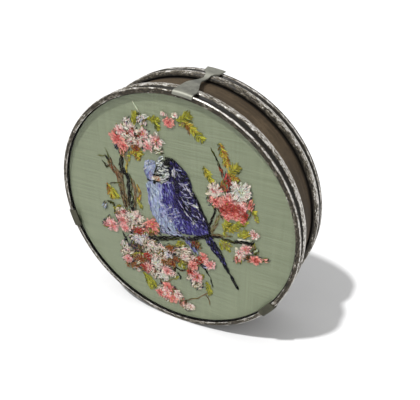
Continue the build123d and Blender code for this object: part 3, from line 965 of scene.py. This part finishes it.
# Leaves, as (stem u, v, tip u, v, width, shades)
LEAVES = [
    (6, 81, 17, 87, 8, LEAF_OLIVE), (11, 82, 20, 75, 8.5, LEAF_GOLD),
    (17, 77, 27, 70, 8, LEAF_OLIVE), (-31, 71, -27, 81, 8, LEAF_OLIVE),
    (-19, 78, -8, 79, 6, LEAF_OLIVE), (-13, 79, -9, 71, 5, LEAF_OLIVE),
    (-36, 47, -25, 50, 7, LEAF_GOLD), (-31, 50, -29, 43, 6, LEAF_GOLD),
    (-37, 48, -38, 39, 3, LEAF_SOFT), (39, 71, 43, 61, 7, LEAF_GOLD),
    (44, 63, 45, 54, 6, LEAF_GOLD), (46, 47, 54, 57, 8, LEAF_BRIGHT),
    (47, 50, 53, 45, 6.5, LEAF_GOLD), (27, 50, 31, 43, 6.5, LEAF_BRIGHT),
    (30, 46, 34, 38, 6, LEAF_BRIGHT), (62, 26, 68, 22, 5, LEAF_BRIGHT),
    (66, 24, 70, 15, 4, LEAF_SOFT), (53, 5, 60, 14, 7.5, LEAF_OLIVE),
    (44, -1, 47, 9, 8, LEAF_BRIGHT), (48, 0, 54, 7, 7, LEAF_BRIGHT),
    (55, -2, 61, 4, 6.5, LEAF_OLIVE), (59, -2, 64, 4, 6, LEAF_BRIGHT),
    (45, -6, 44, -1, 3, LEAF_SOFT), (41, -10, 50, -12, 4, LEAF_SOFT),
    (42, -11, 49, -18, 4.5, LEAF_SOFT), (40, -12, 43, -18, 3.5, LEAF_OLIVE),
    (-61, 14, -57, 1, 8, LEAF_GOLD), (-57, 12, -52, 2, 6, LEAF_OLIVE),
    (-63, -3, -57, -4, 3.5, ("moss", "moss", "bark", "moss")), (-56, -9, -50, -4, 4, LEAF_BRIGHT),
    (-58, -7, -53, -10, 3.5, LEAF_OLIVE), (-33, 8, -29, -1, 4, LEAF_SOFT),
    (-33, -68, -25, -74, 7, LEAF_OLIVE), (-31, -70, -25, -84, 7, LEAF_OLIVE),
    (-26, -71, -21, -80, 6, LEAF_OLIVE), (29, -55, 32, -66, 6, LEAF_OLIVE),
    (32, -61, 31, -69, 3.5, LEAF_SOFT), (3, -48, 11, -40, 6.5, LEAF_BRIGHT),
    (2, -46, 9, -48, 4, LEAF_OLIVE), (-44, -52, -31, -47, 5, LEAF_BRIGHT),
    (0, -29, 9, -23, 5.5, LEAF_SOFT), (3, -28, 5, -22, 4, LEAF_BRIGHT),
    (8, -35, 15, -31, 4, LEAF_SOFT), (-26, -24, -19, -19, 5, LEAF_OLIVE),
    (-17, -43, -12, -38, 4, LEAF_BRIGHT), (22, -57, 26, -49, 4, LEAF_SOFT),
    (-2, -64, 2, -60, 3, LEAF_SOFT),
]


def sew_leaves(mat):
    work = Needlework("leaves", "embroidery_leaves", 0.2)
    for leaf in LEAVES:
        work.leaf(*leaf)
    work.make(mat)


# Loose clumps of petals, as (u, v, half width, half height, shades, direction in degrees)
CLUMPS = [
    (-38, 64, 10, 6, CREAM, None), (-24, 62, 9, 7, WHITE_PINK, None),
    (-33, 57, 9, 5, WHITE_PINK, 30), (-42, 52, 6, 4, CORAL, 60), (-36, 72, 4, 4, MIST, 80),
    (-23, 76, 4, 4, MIST, 60), (-43, 47, 3, 4, ("rust", "salmon", "brown"), 80),
    (50, 26, 11, 6, CORAL, 80), (50, 19, 10, 5, RED, 70), (47, 15, 6, 3, CORAL, 10),
    (58, 19, 5, 4, RED, 60), (46, 42, 3, 7, RED, 100), (42, 37, 3, 4, BROWN, 100),
    (64, 28, 3, 5, CORAL, 80), (36, 24, 6, 5, CORAL, 60), (57, 15, 4, 2, CORAL, 20),
    (-48, -10, 7, 5, WHITE_PINK, 30), (-40, -13, 6, 7, CREAM, 80), (-44, -20, 5, 6, CREAM, 80),
    (-52, -13, 4, 3, BROWN, 60), (-33, -18, 6, 4, CREAM, 0), (-34, -24, 6, 4, RED, 40),
    (-26, -18, 4, 5, CORAL, 60), (-17, -19, 4, 3, CORAL, 120), (-21, -23, 3, 2, BROWN, 20),
    (-37, -33, 7, 4, MIST, 30), (-29, -28, 5, 4, MIST, 60), (-28, -36, 5, 6, CREAM, 80),
    (-38, -42, 6, 5, ("bark", "plum", "brown", "bark"), 70), (-50, -44, 4, 5, MIST, 80),
    (-46, -48, 6, 4, WHITE_PINK, 40), (-52, -52, 3, 3, CREAM, 60), (-48, -58, 5, 4, ROSE, 30),
    (-46, -63, 5, 4, BROWN, 50), (-35, -55, 8, 6, AMBER, 60), (-30, -62, 6, 4, RED, 60),
    (-39, -66, 4, 2, WHITE, 10), (-25, -59, 4, 6, ROSE, 80), (-26, -48, 4, 5, RED, 60),
    (-22, -42, 6, 6, CREAM, 80), (-20, -34, 7, 5, CREAM, 60), (-17, -51, 5, 7, WHITE, 80),
    (-20, -62, 5, 8, CREAM, 80), (-11, -37, 8, 5, CREAM, 40), (-12, -44, 4, 4, CREAM, 60),
    (-4, -32, 4, 4, BROWN, 30), (-4, -46, 6, 4, AMBER, 70), (-10, -49, 4, 3, BROWN, 60),
    (2, -41, 4, 3, AMBER, 60), (8, -33, 9, 6, CREAM, 20), (14, -36, 7, 5, WHITE_PINK, 10),
    (10, -28, 5, 3, WHITE_PINK, 30), (-9, -56, 6, 4, ROSE, 40), (-3, -58, 4, 4, WHITE_PINK, 60),
    (-11, -63, 4, 6, WHITE, 80), (17, -42, 4, 6, CORAL, 80), (14, -49, 3, 5, BROWN, 80),
    (22, -36, 5, 4, RED, 30), (20, -61, 5, 5, CREAM, 60), (13, -55, 3, 4, CREAM, 60),
    (18, -20, 3, 4, ("dark_red", "rust", "bark"), 70), (23, -21, 2, 3, BROWN, 70),
    (-14, -80, 5, 6, WHITE_PINK, 60), (-4, -78, 6, 5, RED, 60), (0, -82, 5, 5, WHITE_PINK, 80),
    (-9, -86, 7, 5, PINK, 60), (7, -87, 5, 5, ("tan", "salmon", "brown", "salmon"), 70),
    (10, -91, 4, 3, CREAM, 30), (56, 37, 8, 7, WHITE, 60), (36, 33, 6, 5, WHITE_PINK, 70),
    (56, -22, 3, 4, CORAL, 80), (64, -19, 4, 3, BROWN, 20),
    (77, -16, 4, 1.4, ("salmon", "tan", "salmon"), 25), (69, -9, 2, 4, ("pale_green", "moss"), 80),
    (-62, -22, 4, 4, ROSE, 60), (-67, -27, 3, 4, ("pink", "rose"), 20),
    (-66, -8, 2.5, 3, ("mist", "grey_blue"), 60), (-10, 55, 4, 2.5, ("pale_green", "cream"), 20),
]
# Whole blossoms, as (u, v, radius, shades)
BLOSSOMS = [
    (-47, 58, 7.5, CORAL), (-43, 65, 5, PINK), (-33, 66, 7, WHITE_PINK), (-12, 62, 7, PINK),
    (-22, 66, 5.5, PINK), (-19, 56, 5, ROSE), (-28, 59, 5, WHITE_PINK), (-41, 52, 4.5, CORAL),
    (56, 37, 10, WHITE), (36, 33, 7.5, WHITE_PINK), (37, 24, 5, CORAL), (56, 24, 6, ROSE),
    (46, 25, 5.5, CORAL), (46, 16, 5, CORAL), (53, 16, 4.5, CORAL), (48, 31, 4, ROSE),
    (62, -11, 5, ROSE), (58, -16, 6, WHITE_PINK), (70, -18, 5, CORAL), (68, 4, 4.5, PINK),
    (-60, -26, 7, ROSE), (-49, -18, 7, ROSE), (-47, -25, 5.5, ROSE), (-47, -9, 5, PINK),
    (-33, -9, 6, WHITE_PINK), (-20, -13, 6.5, CORAL), (-34, -33, 6, MIST), (-39, -12, 5, WHITE),
    (-47, -57, 4.5, ROSE), (-27, -58, 5, ROSE), (-21, -36, 5.5, WHITE), (-6, -39, 5, MIST),
    (-19, -52, 5, WHITE), (-8, -57, 5.5, ROSE), (-12, -64, 5, WHITE), (17, -42, 5, CORAL),
    (20, -53, 7, ROSE), (32, -36, 6, ROSE), (27, -30, 4.5, CORAL), (10, -36, 5, WHITE_PINK),
    (-8, -74, 5.5, CORAL), (-16, -84, 5.5, CORAL), (-4, -86, 6, CORAL), (2, -79, 5, WHITE_PINK),
    (14, -88, 5, WHITE_PINK), (-9, -81, 5, PINK), (44, 19, 4, RED), (50, 20, 5, RED),
    (56, 21, 4.5, RED), (60, 18, 4, RED), (47, 13, 3, CORAL), (59, 13.5, 3, CORAL),
    (53, 23, 4, RED), (47, 22, 4, RED), (-4, -32, 3.5, BROWN), (-3, -47, 4, AMBER),
    (-10, -48, 3.5, BROWN), (-33, -53, 4.5, AMBER), (-27, -47, 4, RED), (-33, -24, 4, RED),
    (14, -50, 3, RED), (24, -33, 3, RED), (-40, -62, 3.5, BROWN), (-31, -60, 3.5, RED),
]
# Buds and dark gaps, as (u, v, half width, half height, shades)
BUDS = [
    (0, 79, 4.6, 3.8, CORAL), (-4, 84.5, 2.4, 2.2, WHITE_PINK), (5, 85, 2.6, 2.2, WHITE_PINK),
    (-20, 80, 3, 1.6, WHITE), (-38, 74, 1.8, 1.8, WHITE), (10, 79, 3, 1.2, LEAF_SOFT),
    (-29, 63, 1.2, 3, ("dark_red", "bark")), (-36, 64, 2, 1.4, ("rust", "dark_red")),
    (-25, 65, 1.6, 1.6, ("rust", "brown")), (-31, 68, 1.5, 1.2, ("brown", "rust")),
    (-30, 53, 3.5, 2.6, ("rust", "dark_red", "orange_brown")), (71, -18, 1.8, 2.2, RED),
    (-48, 50, 1.4, 2, ("soft_black", "plum")), (28, -39, 1.4, 1.4, ("ink", "lilac")),
    (21, -53, 1.4, 2, RED), (-3, -37, 3, 1.1, ("black", "bark")), (68, -7, 1.2, 1.2, TWIG),
]
# Loose ends over the big clusters, as (u, v, half width, half height, count)
TANGLES = [
    (-34, 62, 12, 7, 26), (-44, -14, 10, 9, 34), (-22, -40, 22, 12, 90), (-28, -58, 14, 9, 40),
    (8, -38, 16, 8, 40), (48, 27, 12, 10, 30),
]


def sew_blossoms(mat):
    work = Needlework("blossoms", "embroidery_blossoms", 0.4, rows=3, section=PLAIN_SECTION)
    for u, v, ru, rv, _, way in CLUMPS:
        work.oval(u, v, ru + 1, rv + 1, TANGLE, way=way, length=3.4, width=0.7, cover=0.65)
    for u, v, ru, rv, shades, way in CLUMPS:
        work.oval(u, v, ru, rv, shades, way=way, length=3.0, width=0.7, cover=1.3)
        work.oval(u, v, ru, rv, TANGLE, way=way, length=2.6, width=0.5, cover=0.22)
    for u, v, r, shades in BLOSSOMS:
        work.blossom(u, v, r, shades, "gold" if shades is WHITE else random.choice(HEARTS))
    for u, v, ru, rv, shades in BUDS:
        work.oval(u, v, ru, rv, shades, way=random.uniform(20, 110), length=2.2, cover=2.4)
    for u, v, ru, rv, count in TANGLES:
        for _ in range(count):
            cu, cv = u + ru * random.gauss(0, 0.5), v + rv * random.gauss(0, 0.5)
            aim, half = random.uniform(0, math.pi), random.uniform(1.0, 2.8)
            shade = random.choice(LOOSE_ENDS)
            work.lay(cu, cv, aim, 2 * half, shade, 0.45, bow=random.gauss(0, 0.6))
    work.make(mat)


# Outlines of the bird's parts
BACK = [
    (-1, 51), (3, 49.8), (7, 46.8), (12.7, 41.6), (16.2, 34.4), (17.4, 28), (21.8, 20), (26, 12),
    (30, 4), (32, -3), (32, -8), (22, -12), (8, -14), (3, -8), (4, 5), (3, 15), (0, 25), (-3, 31),
    (-2, 42),
]
BREAST = [
    (-19, 28), (-21.5, 26), (-22.8, 20), (-22.4, 9), (-21, 1), (-19, -4), (-13.5, -12), (-8, -17),
    (-2, -18), (3, -14), (0, -6), (-5, 2), (-8, 10), (-9, 20), (-9, 28),
]
BODY = [
    (-10, 28), (-6, 29), (-2, 32), (2, 27), (4, 16), (6, 6), (10, 0), (17, -3), (28, -4), (31, -7),
    (22, -12), (10, -14), (2, -12), (-3, -4), (-7, 5), (-9, 14), (-10, 22),
]
CHEEK = [
    (-22.4, 44.3), (-16.9, 45.7), (-13.7, 46.1), (-13.4, 41.7), (-14.4, 36.7), (-16.4, 32.7),
    (-15.9, 27.5), (-19.9, 27.5), (-22.4, 29), (-24, 31.2), (-24.3, 37.2), (-23.4, 40.7),
]
FACE = [
    (-13.4, 41.7), (-12.4, 46.7), (-10.4, 50.3), (-6.9, 51), (-5.4, 48.7), (-6.4, 45.7),
    (-4.9, 43.7), (-1.9, 42.7), (-1.4, 38.7), (-1.4, 34.7), (-3.9, 30.7), (-7.9, 28.5),
    (-11.9, 28.7), (-14.9, 32.2), (-14.4, 36.7),
]
CROWN = [
    (-5.4, 51.2), (1.5, 51), (3.2, 49.4), (-0.2, 48), (-1.4, 45.6), (-2.6, 43.8), (-5.8, 42.6),
    (-7.4, 45), (-5.8, 47.2), (-4.8, 48.9),
]
SHOULDER = [
    (10, 43.4), (13, 41.4), (15.9, 36.7), (17, 31), (17, 28), (15, 29.5), (14, 34.5), (11.4, 37),
    (10.2, 39.7),
]
TAIL = [
    (26.5, -10), (33, -9), (37, -13.3), (41, -19.8), (44.6, -26.3), (45, -29.5), (47.6, -34.5),
    (50.8, -40.5), (54.3, -45.5), (56.2, -49.5), (57.8, -54.5), (55, -51.8), (52, -47), (48.6, -42),
    (44.2, -35), (41, -30), (37, -25.5), (33, -21.5), (29, -15.5),
]
FEATHER = [
    (7, -16), (14, -15), (18.5, -20), (21.5, -28), (21.5, -33), (17, -30), (12, -23),
]
UNDER_TAIL = [
    (-14, -12), (-8, -11), (2, -12), (8, -14), (8, -17), (-2, -19), (-12, -19.5),
]
# Fine dark and pale scrolls of the head
SCROLLS = [
    (1.2, ("black",), (-13.5, 38.5), (-12, 41.2), (-9.7, 41.6), (-7.7, 40.5)),
    (1.2, ("black",), (-13.9, 36.6), (-12.7, 38.2), (-11.6, 37.4), (-9.7, 37)),
    (0.9, ("black",), (-10.4, 40.1), (-8.5, 39.5)),
    (1.7, ("black",), (-5.8, 42), (-3.9, 41.6), (-2.4, 42)),
    (1.2, ("ink",), (-5.1, 39.3), (-2, 39.3), (-1.2, 37.8)),
    (1.1, ("soft_black",), (-7.4, 36.6), (-5.8, 37.8), (-3.5, 37.8)),
    (1.5, ("black",), (-4.3, 32), (-2.4, 33.5), (-0.4, 33.2)),
    (0.8, ("soft_black",), (-7.4, 30.1), (-5.8, 31.2)),
    (1.8, ("black",), (-2, 46.6), (-1.2, 44.7), (0.3, 43.2)),
    (2.0, ("ink",), (-0.8, 42), (-0.4, 36.2)), (0.8, ("soft_black",), (-9.5, 45.5), (-7.8, 47.5)),
    (1.0, ("black",), (-7.9, 43.6), (-6.4, 42)),
    (1.3, ("mist",), (-9.7, 30.9), (-5.8, 32), (-3.5, 35.1)),
    (1.2, ("lilac",), (-6.2, 28.2), (-3.5, 29.7), (-0.8, 30.1)),
    (1.2, ("face_white",), (-9.5, 38.4), (-7, 39), (-5.5, 41)),
]
# Pale streaks of the wing
STREAKS = [
    (0.5, PALE_BARBS, (4.6, 41.2), (6.9, 37.4)), (0.8, PALE_BARBS, (7.6, 45.1), (9.6, 43.9)),
    (1.0, PALE_BARBS, (6.9, 31.4), (9.6, 30.9), (11.9, 31.6), (14.2, 33.2)),
    (0.9, PALE_BARBS, (11.9, 31.6), (13.4, 28.5), (15.3, 27)),
    (0.8, PALE_BARBS, (9.6, 30.9), (11.5, 27.7), (11.9, 26.2)),
    (0.9, PALE_BARBS, (13.4, 28.5), (16.5, 25.1), (18.8, 26)),
    (0.6, PALE_BARBS, (9.9, 23.9), (11.9, 20.9), (14.2, 20.9)),
    (0.7, PALE_BARBS, (5.5, 15.8), (8.5, 11.5), (11.2, 7.3)),
    (0.6, PALE_BARBS, (11.2, 7.3), (16, 2.5), (21.2, -2.7)),
    (0.6, PALE_BARBS, (13, 17), (17, 15), (20, 15.6)),
    (0.5, PALE_BARBS, (8, 20), (10, 16.5), (14.5, 12)),
]
# Dark spots in the wing, as (u, v, half width, half height)
SPOTS = [
    (11.2, 13.2, 2.6, 1.5), (14.8, 10.2, 1.4, 2.6), (9.8, 9.2, 2.0, 1.1), (18.8, 3.2, 2.2, 1.0),
    (9.3, 38.2, 1.3, 2.2), (8, 34.5, 2, 1),
]


def breast_shades(u, v):
    """Lavender at the front edge, pale grey in the middle, grey-blue low down."""
    if u < -20:
        return ("lilac", "slate", "violet")
    if v < -4:
        return ("grey_blue", "grey_blue", "lavender", "pale_grey")
    if u > -12:
        return ("lavender", "lilac", "grey_blue", "violet", "lavender")
    return ("pale_grey", "lavender", "grey_blue", "pale_grey", "lavender")


def body_shades(u, v):
    """Violet, darker towards the wing and the shoulder."""
    if u > 1 and v > 8:
        return ("indigo", "plum", "deep_violet", "ink")
    if v < -2:
        return ("deep_violet", "violet", "deep_violet", "indigo", "lavender")
    return ("violet", "violet", "deep_violet", "deep_violet", "lavender")


def back_shades(u, v):
    """Near-black on the shoulder, violet lower on the wing."""
    if v > 22:
        return ("ink", "indigo", "plum", "black", "deep_violet")
    if v < 0:
        return ("deep_violet", "violet", "indigo", "violet")
    return ("indigo", "plum", "ink", "deep_violet", "plum")


def tail_shades(u, v):
    """Black at the tip."""
    if v < -30:
        return ("soft_black", "black", "black")
    return ("indigo", "deep_violet", "deep_violet", "ink", "violet")


def cheek_shades(u, v):
    """Pale lavender above, slate blue low at the front, mauve beside the beak."""
    if v < 37.5 and u < -19.5:
        return ("slate", "grey_blue", "slate", "violet")
    if v < 36:
        return ("mauve", "slate", "mauve", "lilac")
    return ("lavender", "pale_grey", "grey_blue", "lavender", "mist")


def down_the_back(u, v):
    """Stitches follow the bird's back, steeper near the breast."""
    return -62 - 18 * max(0.0, min(1.0, (12 - u) / 30))


def round_the_cheek(u, v):
    return math.degrees(math.atan2(v - 34, u + 8)) + 78


def sew_bird(mat):
    work = Needlework("bird", "embroidery_bird", 0.3)
    work.region(TAIL, tail_shades, -61, length=6.5, width=0.9, stray=0.06)
    work.region(FEATHER, ("plum", "violet", "lavender", "indigo"), -64, length=4.5, stray=0.08)
    feather_tip = [(20, -32), (24, -38), (28.5, -44), (32.5, -51), (34, -58)]
    work.line(feather_tip, 1.5, ("black", "soft_black", "black"))
    # Wide stitches under all of it, so that no silk shows through
    for outline, shades in (
        (BACK, ("indigo", "ink")), (BODY, ("deep_violet", "indigo")), (BREAST, BLUE_GREY),
        (CHEEK, BLUE_GREY), (UNDER_TAIL, ("plum", "grey_blue")), (TAIL, ("ink", "black")),
    ):
        work.region(outline, shades, -70, length=4.5, width=1.6, cover=2.2)
    work.region(BACK, back_shades, down_the_back, length=3.6)
    work.region(BREAST, breast_shades, down_the_back, length=4.6, width=0.8)
    work.region(BODY, body_shades, down_the_back, length=4.0, width=0.75)
    work.region(UNDER_TAIL, ("ash", "lilac", "soft_black", "grey_blue", "plum"), -25, length=3.2)
    work.region(CHEEK, cheek_shades, round_the_cheek, length=3.4)
    work.line([(-24, 36.5), (-20, 38.5), (-15, 43)], 0.8, ("mist", "lilac"), length=3)
    work.line([(-22, 41), (-18, 43.5), (-14.5, 44.5)], 0.7, ("pale_grey", "mist"), length=3)
    work.oval(-18, 22, 5, 4, ("pale_grey", "grey_blue"), way=-70)
    work.region(FACE, ("face_white", "face_white", "ash", "pale_grey"), 35, length=2.4, stray=0.5)
    work.climb += 0.1
    work.region(CROWN, DARK, -50, length=2.6, cover=3.2, stray=0.4)
    work.lines(SCROLLS, length=2.4, cover=2.6, thread=0.55)
    # Eye stroke, beak and throat
    work.climb += 0.06
    eye_stroke = [(-15.8, 33.7), (-13.5, 33.4), (-11.6, 33.9), (-8.5, 35.1)]
    work.line(eye_stroke, 1.9, DARK, length=2.6, cover=2.8)
    work.oval(-12.1, 31, 2.4, 1.9, ("beak", "beak", "beak_pale"), way=25, length=2.0, cover=2.6)
    work.oval(-15.6, 30.8, 1.5, 1.9, ("beak_pale", "face_white"), way=70, length=1.8, cover=2.6)
    work.line([(-16.2, 27.9), (-13.5, 27.8), (-10.6, 28.6)], 1.2, ("black", "ink"), length=2.2)
    work.knot(-15.2, 26.8, 1.3, "black")
    work.line([(-21, 27.9), (-17.8, 27.3)], 1.3, ("ink", "indigo"), length=2.2)
    # Scalloped wing: pale arcs, each with a dark one beside it
    work.climb += 0.04
    for row in range(9):
        for col in range(5):
            u = 4.5 + col * 3.1 + row * 1.1 + random.gauss(0, 0.5)
            v = 43 - row * 4.6 - col * 1.8 + random.gauss(0, 0.5)
            if not inside(BACK, u, v):
                continue
            pale = random.choice(("lilac", "mist", "lavender", "violet", "lilac"))
            turn = math.radians(random.uniform(-75, 40))
            du, dv = math.cos(turn) * 1.6, math.sin(turn) * 1.6
            work.stitch(u - du, v - dv, u + du, v + dv, pale, 0.6, bow=random.choice((-0.7, 0.7)))
            start = (u - du + 0.9, v - dv - 0.5)
            work.stitch(*start, u + du + 0.9, v + dv - 0.5, "ink", 0.6, bow=0.5)
    work.region(SHOULDER, ("black", "ink", "soft_black"), -60, length=2.8, cover=2.4)
    work.oval(2.4, 39.8, 1.8, 3.6, ("lilac", "ash", "mist"), way=-75, length=2.6, cover=2.4)
    work.lines(STREAKS, length=2.6, cover=2.2, thread=0.5)
    work.oval(20.5, 15.1, 2.6, 1.4, ("face_white", "mist"), way=-15, length=2.4, cover=2.6)
    work.oval(17.6, -0.8, 1.0, 1.3, ("face_white", "ash"), way=80, length=1.8, cover=2.4)
    work.oval(27, 4.6, 0.9, 1.5, ("ash", "lilac"), way=-70, length=2, cover=2.0)
    for u, v, ru, rv in SPOTS:
        work.oval(u, v, ru, rv, ("black", "black", "ink"), way=-50, length=2.0, cover=2.2)
    # Light barbs where the breast meets the body
    for _ in range(46):
        u = random.uniform(-11, 9)
        v = random.uniform(-9, 9) - u * 0.45
        if inside(BODY, u, v) or inside(BREAST, u, v):
            pale = random.choice(("lavender", "lilac", "mist"))
            work.stitch(u - 1.4, v - 0.5, u + 1.4, v + 0.6, pale, 0.5, bow=0.3)
    # Dark edge of the back
    work.climb += 0.06
    work.line([(3, 49.6), (8, 46), (12.3, 41.3)], 0.9, ("ink", "indigo"))
    work.line([(18.1, 25.6), (19.6, 22.8), (22, 18.5), (25.6, 12)], 2.6, ("black", "black", "ink"))
    work.line([(25.6, 12), (29.3, 4.5), (31.2, -2), (32, -7)], 1.9, ("black", "soft_black"))
    # The perch where it shows over the lowest feathers, and the feet
    work.line([(7, -18), (14, -17.2), (18.4, -16)], 2.2, ("black", "soft_black", "bark"))
    work.line([(18.4, -15.6), (25.5, -11.3), (32, -8.3)], 3.6, DARK)
    work.line([(9, -15), (12, -18.5)], 1.2, ("ash", "plum"), length=2)
    work.line([(14, -14.5), (17, -17)], 1.2, ("soft_black", "plum"), length=2)
    work.make(mat)


# ---- Studio ----

SUN_FROM = Vector((-0.24, -0.445, 1.0))
SUN_STRENGTH = 3.4
SUN_WIDTH = math.radians(3)
SKY_LOW = 0.2
SKY_HIGH = 1.05
SKY_RIM = 0.9  # extra light low over the horizon
RIM_TOP = 0.17  # sines of the elevations where it starts and where it is full
RIM_FULL = 0.12
PAPER_DARK = (0.66, 0.66, 0.66)
PAPER_LIGHT = (0.69, 0.69, 0.69)
FLOOR_SIDE = 12.0


def make_studio():
    """A sun, a white sky that is brighter overhead and at the horizon, and a paper floor."""
    scene = bpy.context.scene
    scene.view_settings.view_transform = "Standard"
    sky = Graph("studio", bpy.data.worlds.new("studio"))
    height = sky.node("SeparateXYZ", {0: sky.node("TexCoord", out=0)}, out=2)
    level = sky.node("MapRange", {"Value": height, "To Min": SKY_LOW, "To Max": SKY_HIGH})
    rim = {"Value": height, "From Min": RIM_TOP, "From Max": RIM_FULL, "To Max": SKY_RIM}
    light = sky.math("ADD", level, sky.node("MapRange", rim))
    background = sky.node("Background", {"Color": (1, 1, 1), "Strength": light})
    scene.world = sky.finish(background, "World")
    sun_data = bpy.data.lights.new("key", "SUN")
    sun_data.energy = SUN_STRENGTH
    sun_data.angle = SUN_WIDTH
    sun = bpy.data.objects.new("key", sun_data)
    sun.rotation_mode = "QUATERNION"
    sun.rotation_quaternion = SUN_FROM.to_track_quat("Z", "Y")
    scene.collection.objects.link(sun)
    g = Graph("paper")
    tone = g.mix(g.noise(g.place(), 60.0, detail=3.0), PAPER_DARK, PAPER_LIGHT)
    paper = g.principled(Base_Color=tone, Roughness=0.9, Specular_IOR_Level=0.1)
    mesh = bpy.data.meshes.new("floor")
    half = FLOOR_SIDE / 2
    corners = [(-half, -half, 0), (half, -half, 0), (half, half, 0), (-half, half, 0)]
    mesh.from_pydata(corners, [], [(0, 1, 2, 3)])
    mesh.materials.append(paper)
    floor = bpy.data.objects.new("floor", mesh)
    floor.location.z = cad_box[0][2]
    scene.collection.objects.link(floor)


make_camera()
make_studio()

hoop_silver = worn_silver()
make_hoop("front_hoop", front_outline(), LIP_Y, "lid", False, hoop_silver, 3.0)
make_hoop("rear_hoop", rear_outline(), rear_low.y, "drum", True, hoop_silver, 11.0)

side_brown = brown_lacquer("side_brown", srgb(76, 64, 49), 0.56)
for node in ("side_band", "band_seam"):
    dress(node, side_brown)
# The base's brown is a lighter copy of the side's, as painted light on a back that is in shade
base_brown = brown_lacquer("base_brown", srgb(112, 94, 74), 0.42, rubbed=(90, 90, 260))
dress("base_plate", base_brown, bevel=0.3 * MM)
dull_tin = tinned_sheet("dull_tin", srgb(176, 176, 170), 0.38)
for node in ("liner_wall", "liner_floor", "lid_collar", "lid_back_plate"):
    dress(node, dull_tin)
# The rear collar is painted near black as shade for the crevice between band and rear hoop
dress("rear_collar", brown_lacquer("crevice_shade_tin", srgb(26, 22, 18), 0.7))
dress("strap_top", tinned_sheet("strap_zinc", srgb(134, 134, 124), 0.46, 0.6), bevel=0.12 * MM)
# The side straps are the same zinc as the top one, made darker as painted shade
shaded_zinc = tinned_sheet("shaded_zinc", srgb(78, 77, 64), 0.5, 1.1)
for node in ("strap_left", "strap_right"):
    dress(node, shaded_zinc, bevel=0.12 * MM)
dress("solder_tacks", solder_metal())
make_glass(window_glass())
# Black card, made near black as painted shade for the ring inside the lip
dress("glass_spacer", card_board("black_card", srgb(13, 12, 9), srgb(7, 6, 5)))
dress("backing_card", card_board("grey_board", srgb(168, 160, 142), srgb(120, 112, 98)))

make_silk(green_silk())
sew_branches(silk_floss("bark_floss"))
sew_leaves(silk_floss("leaf_floss"))
sew_bird(silk_floss("bird_floss"))
sew_blossoms(silk_floss("blossom_floss"))
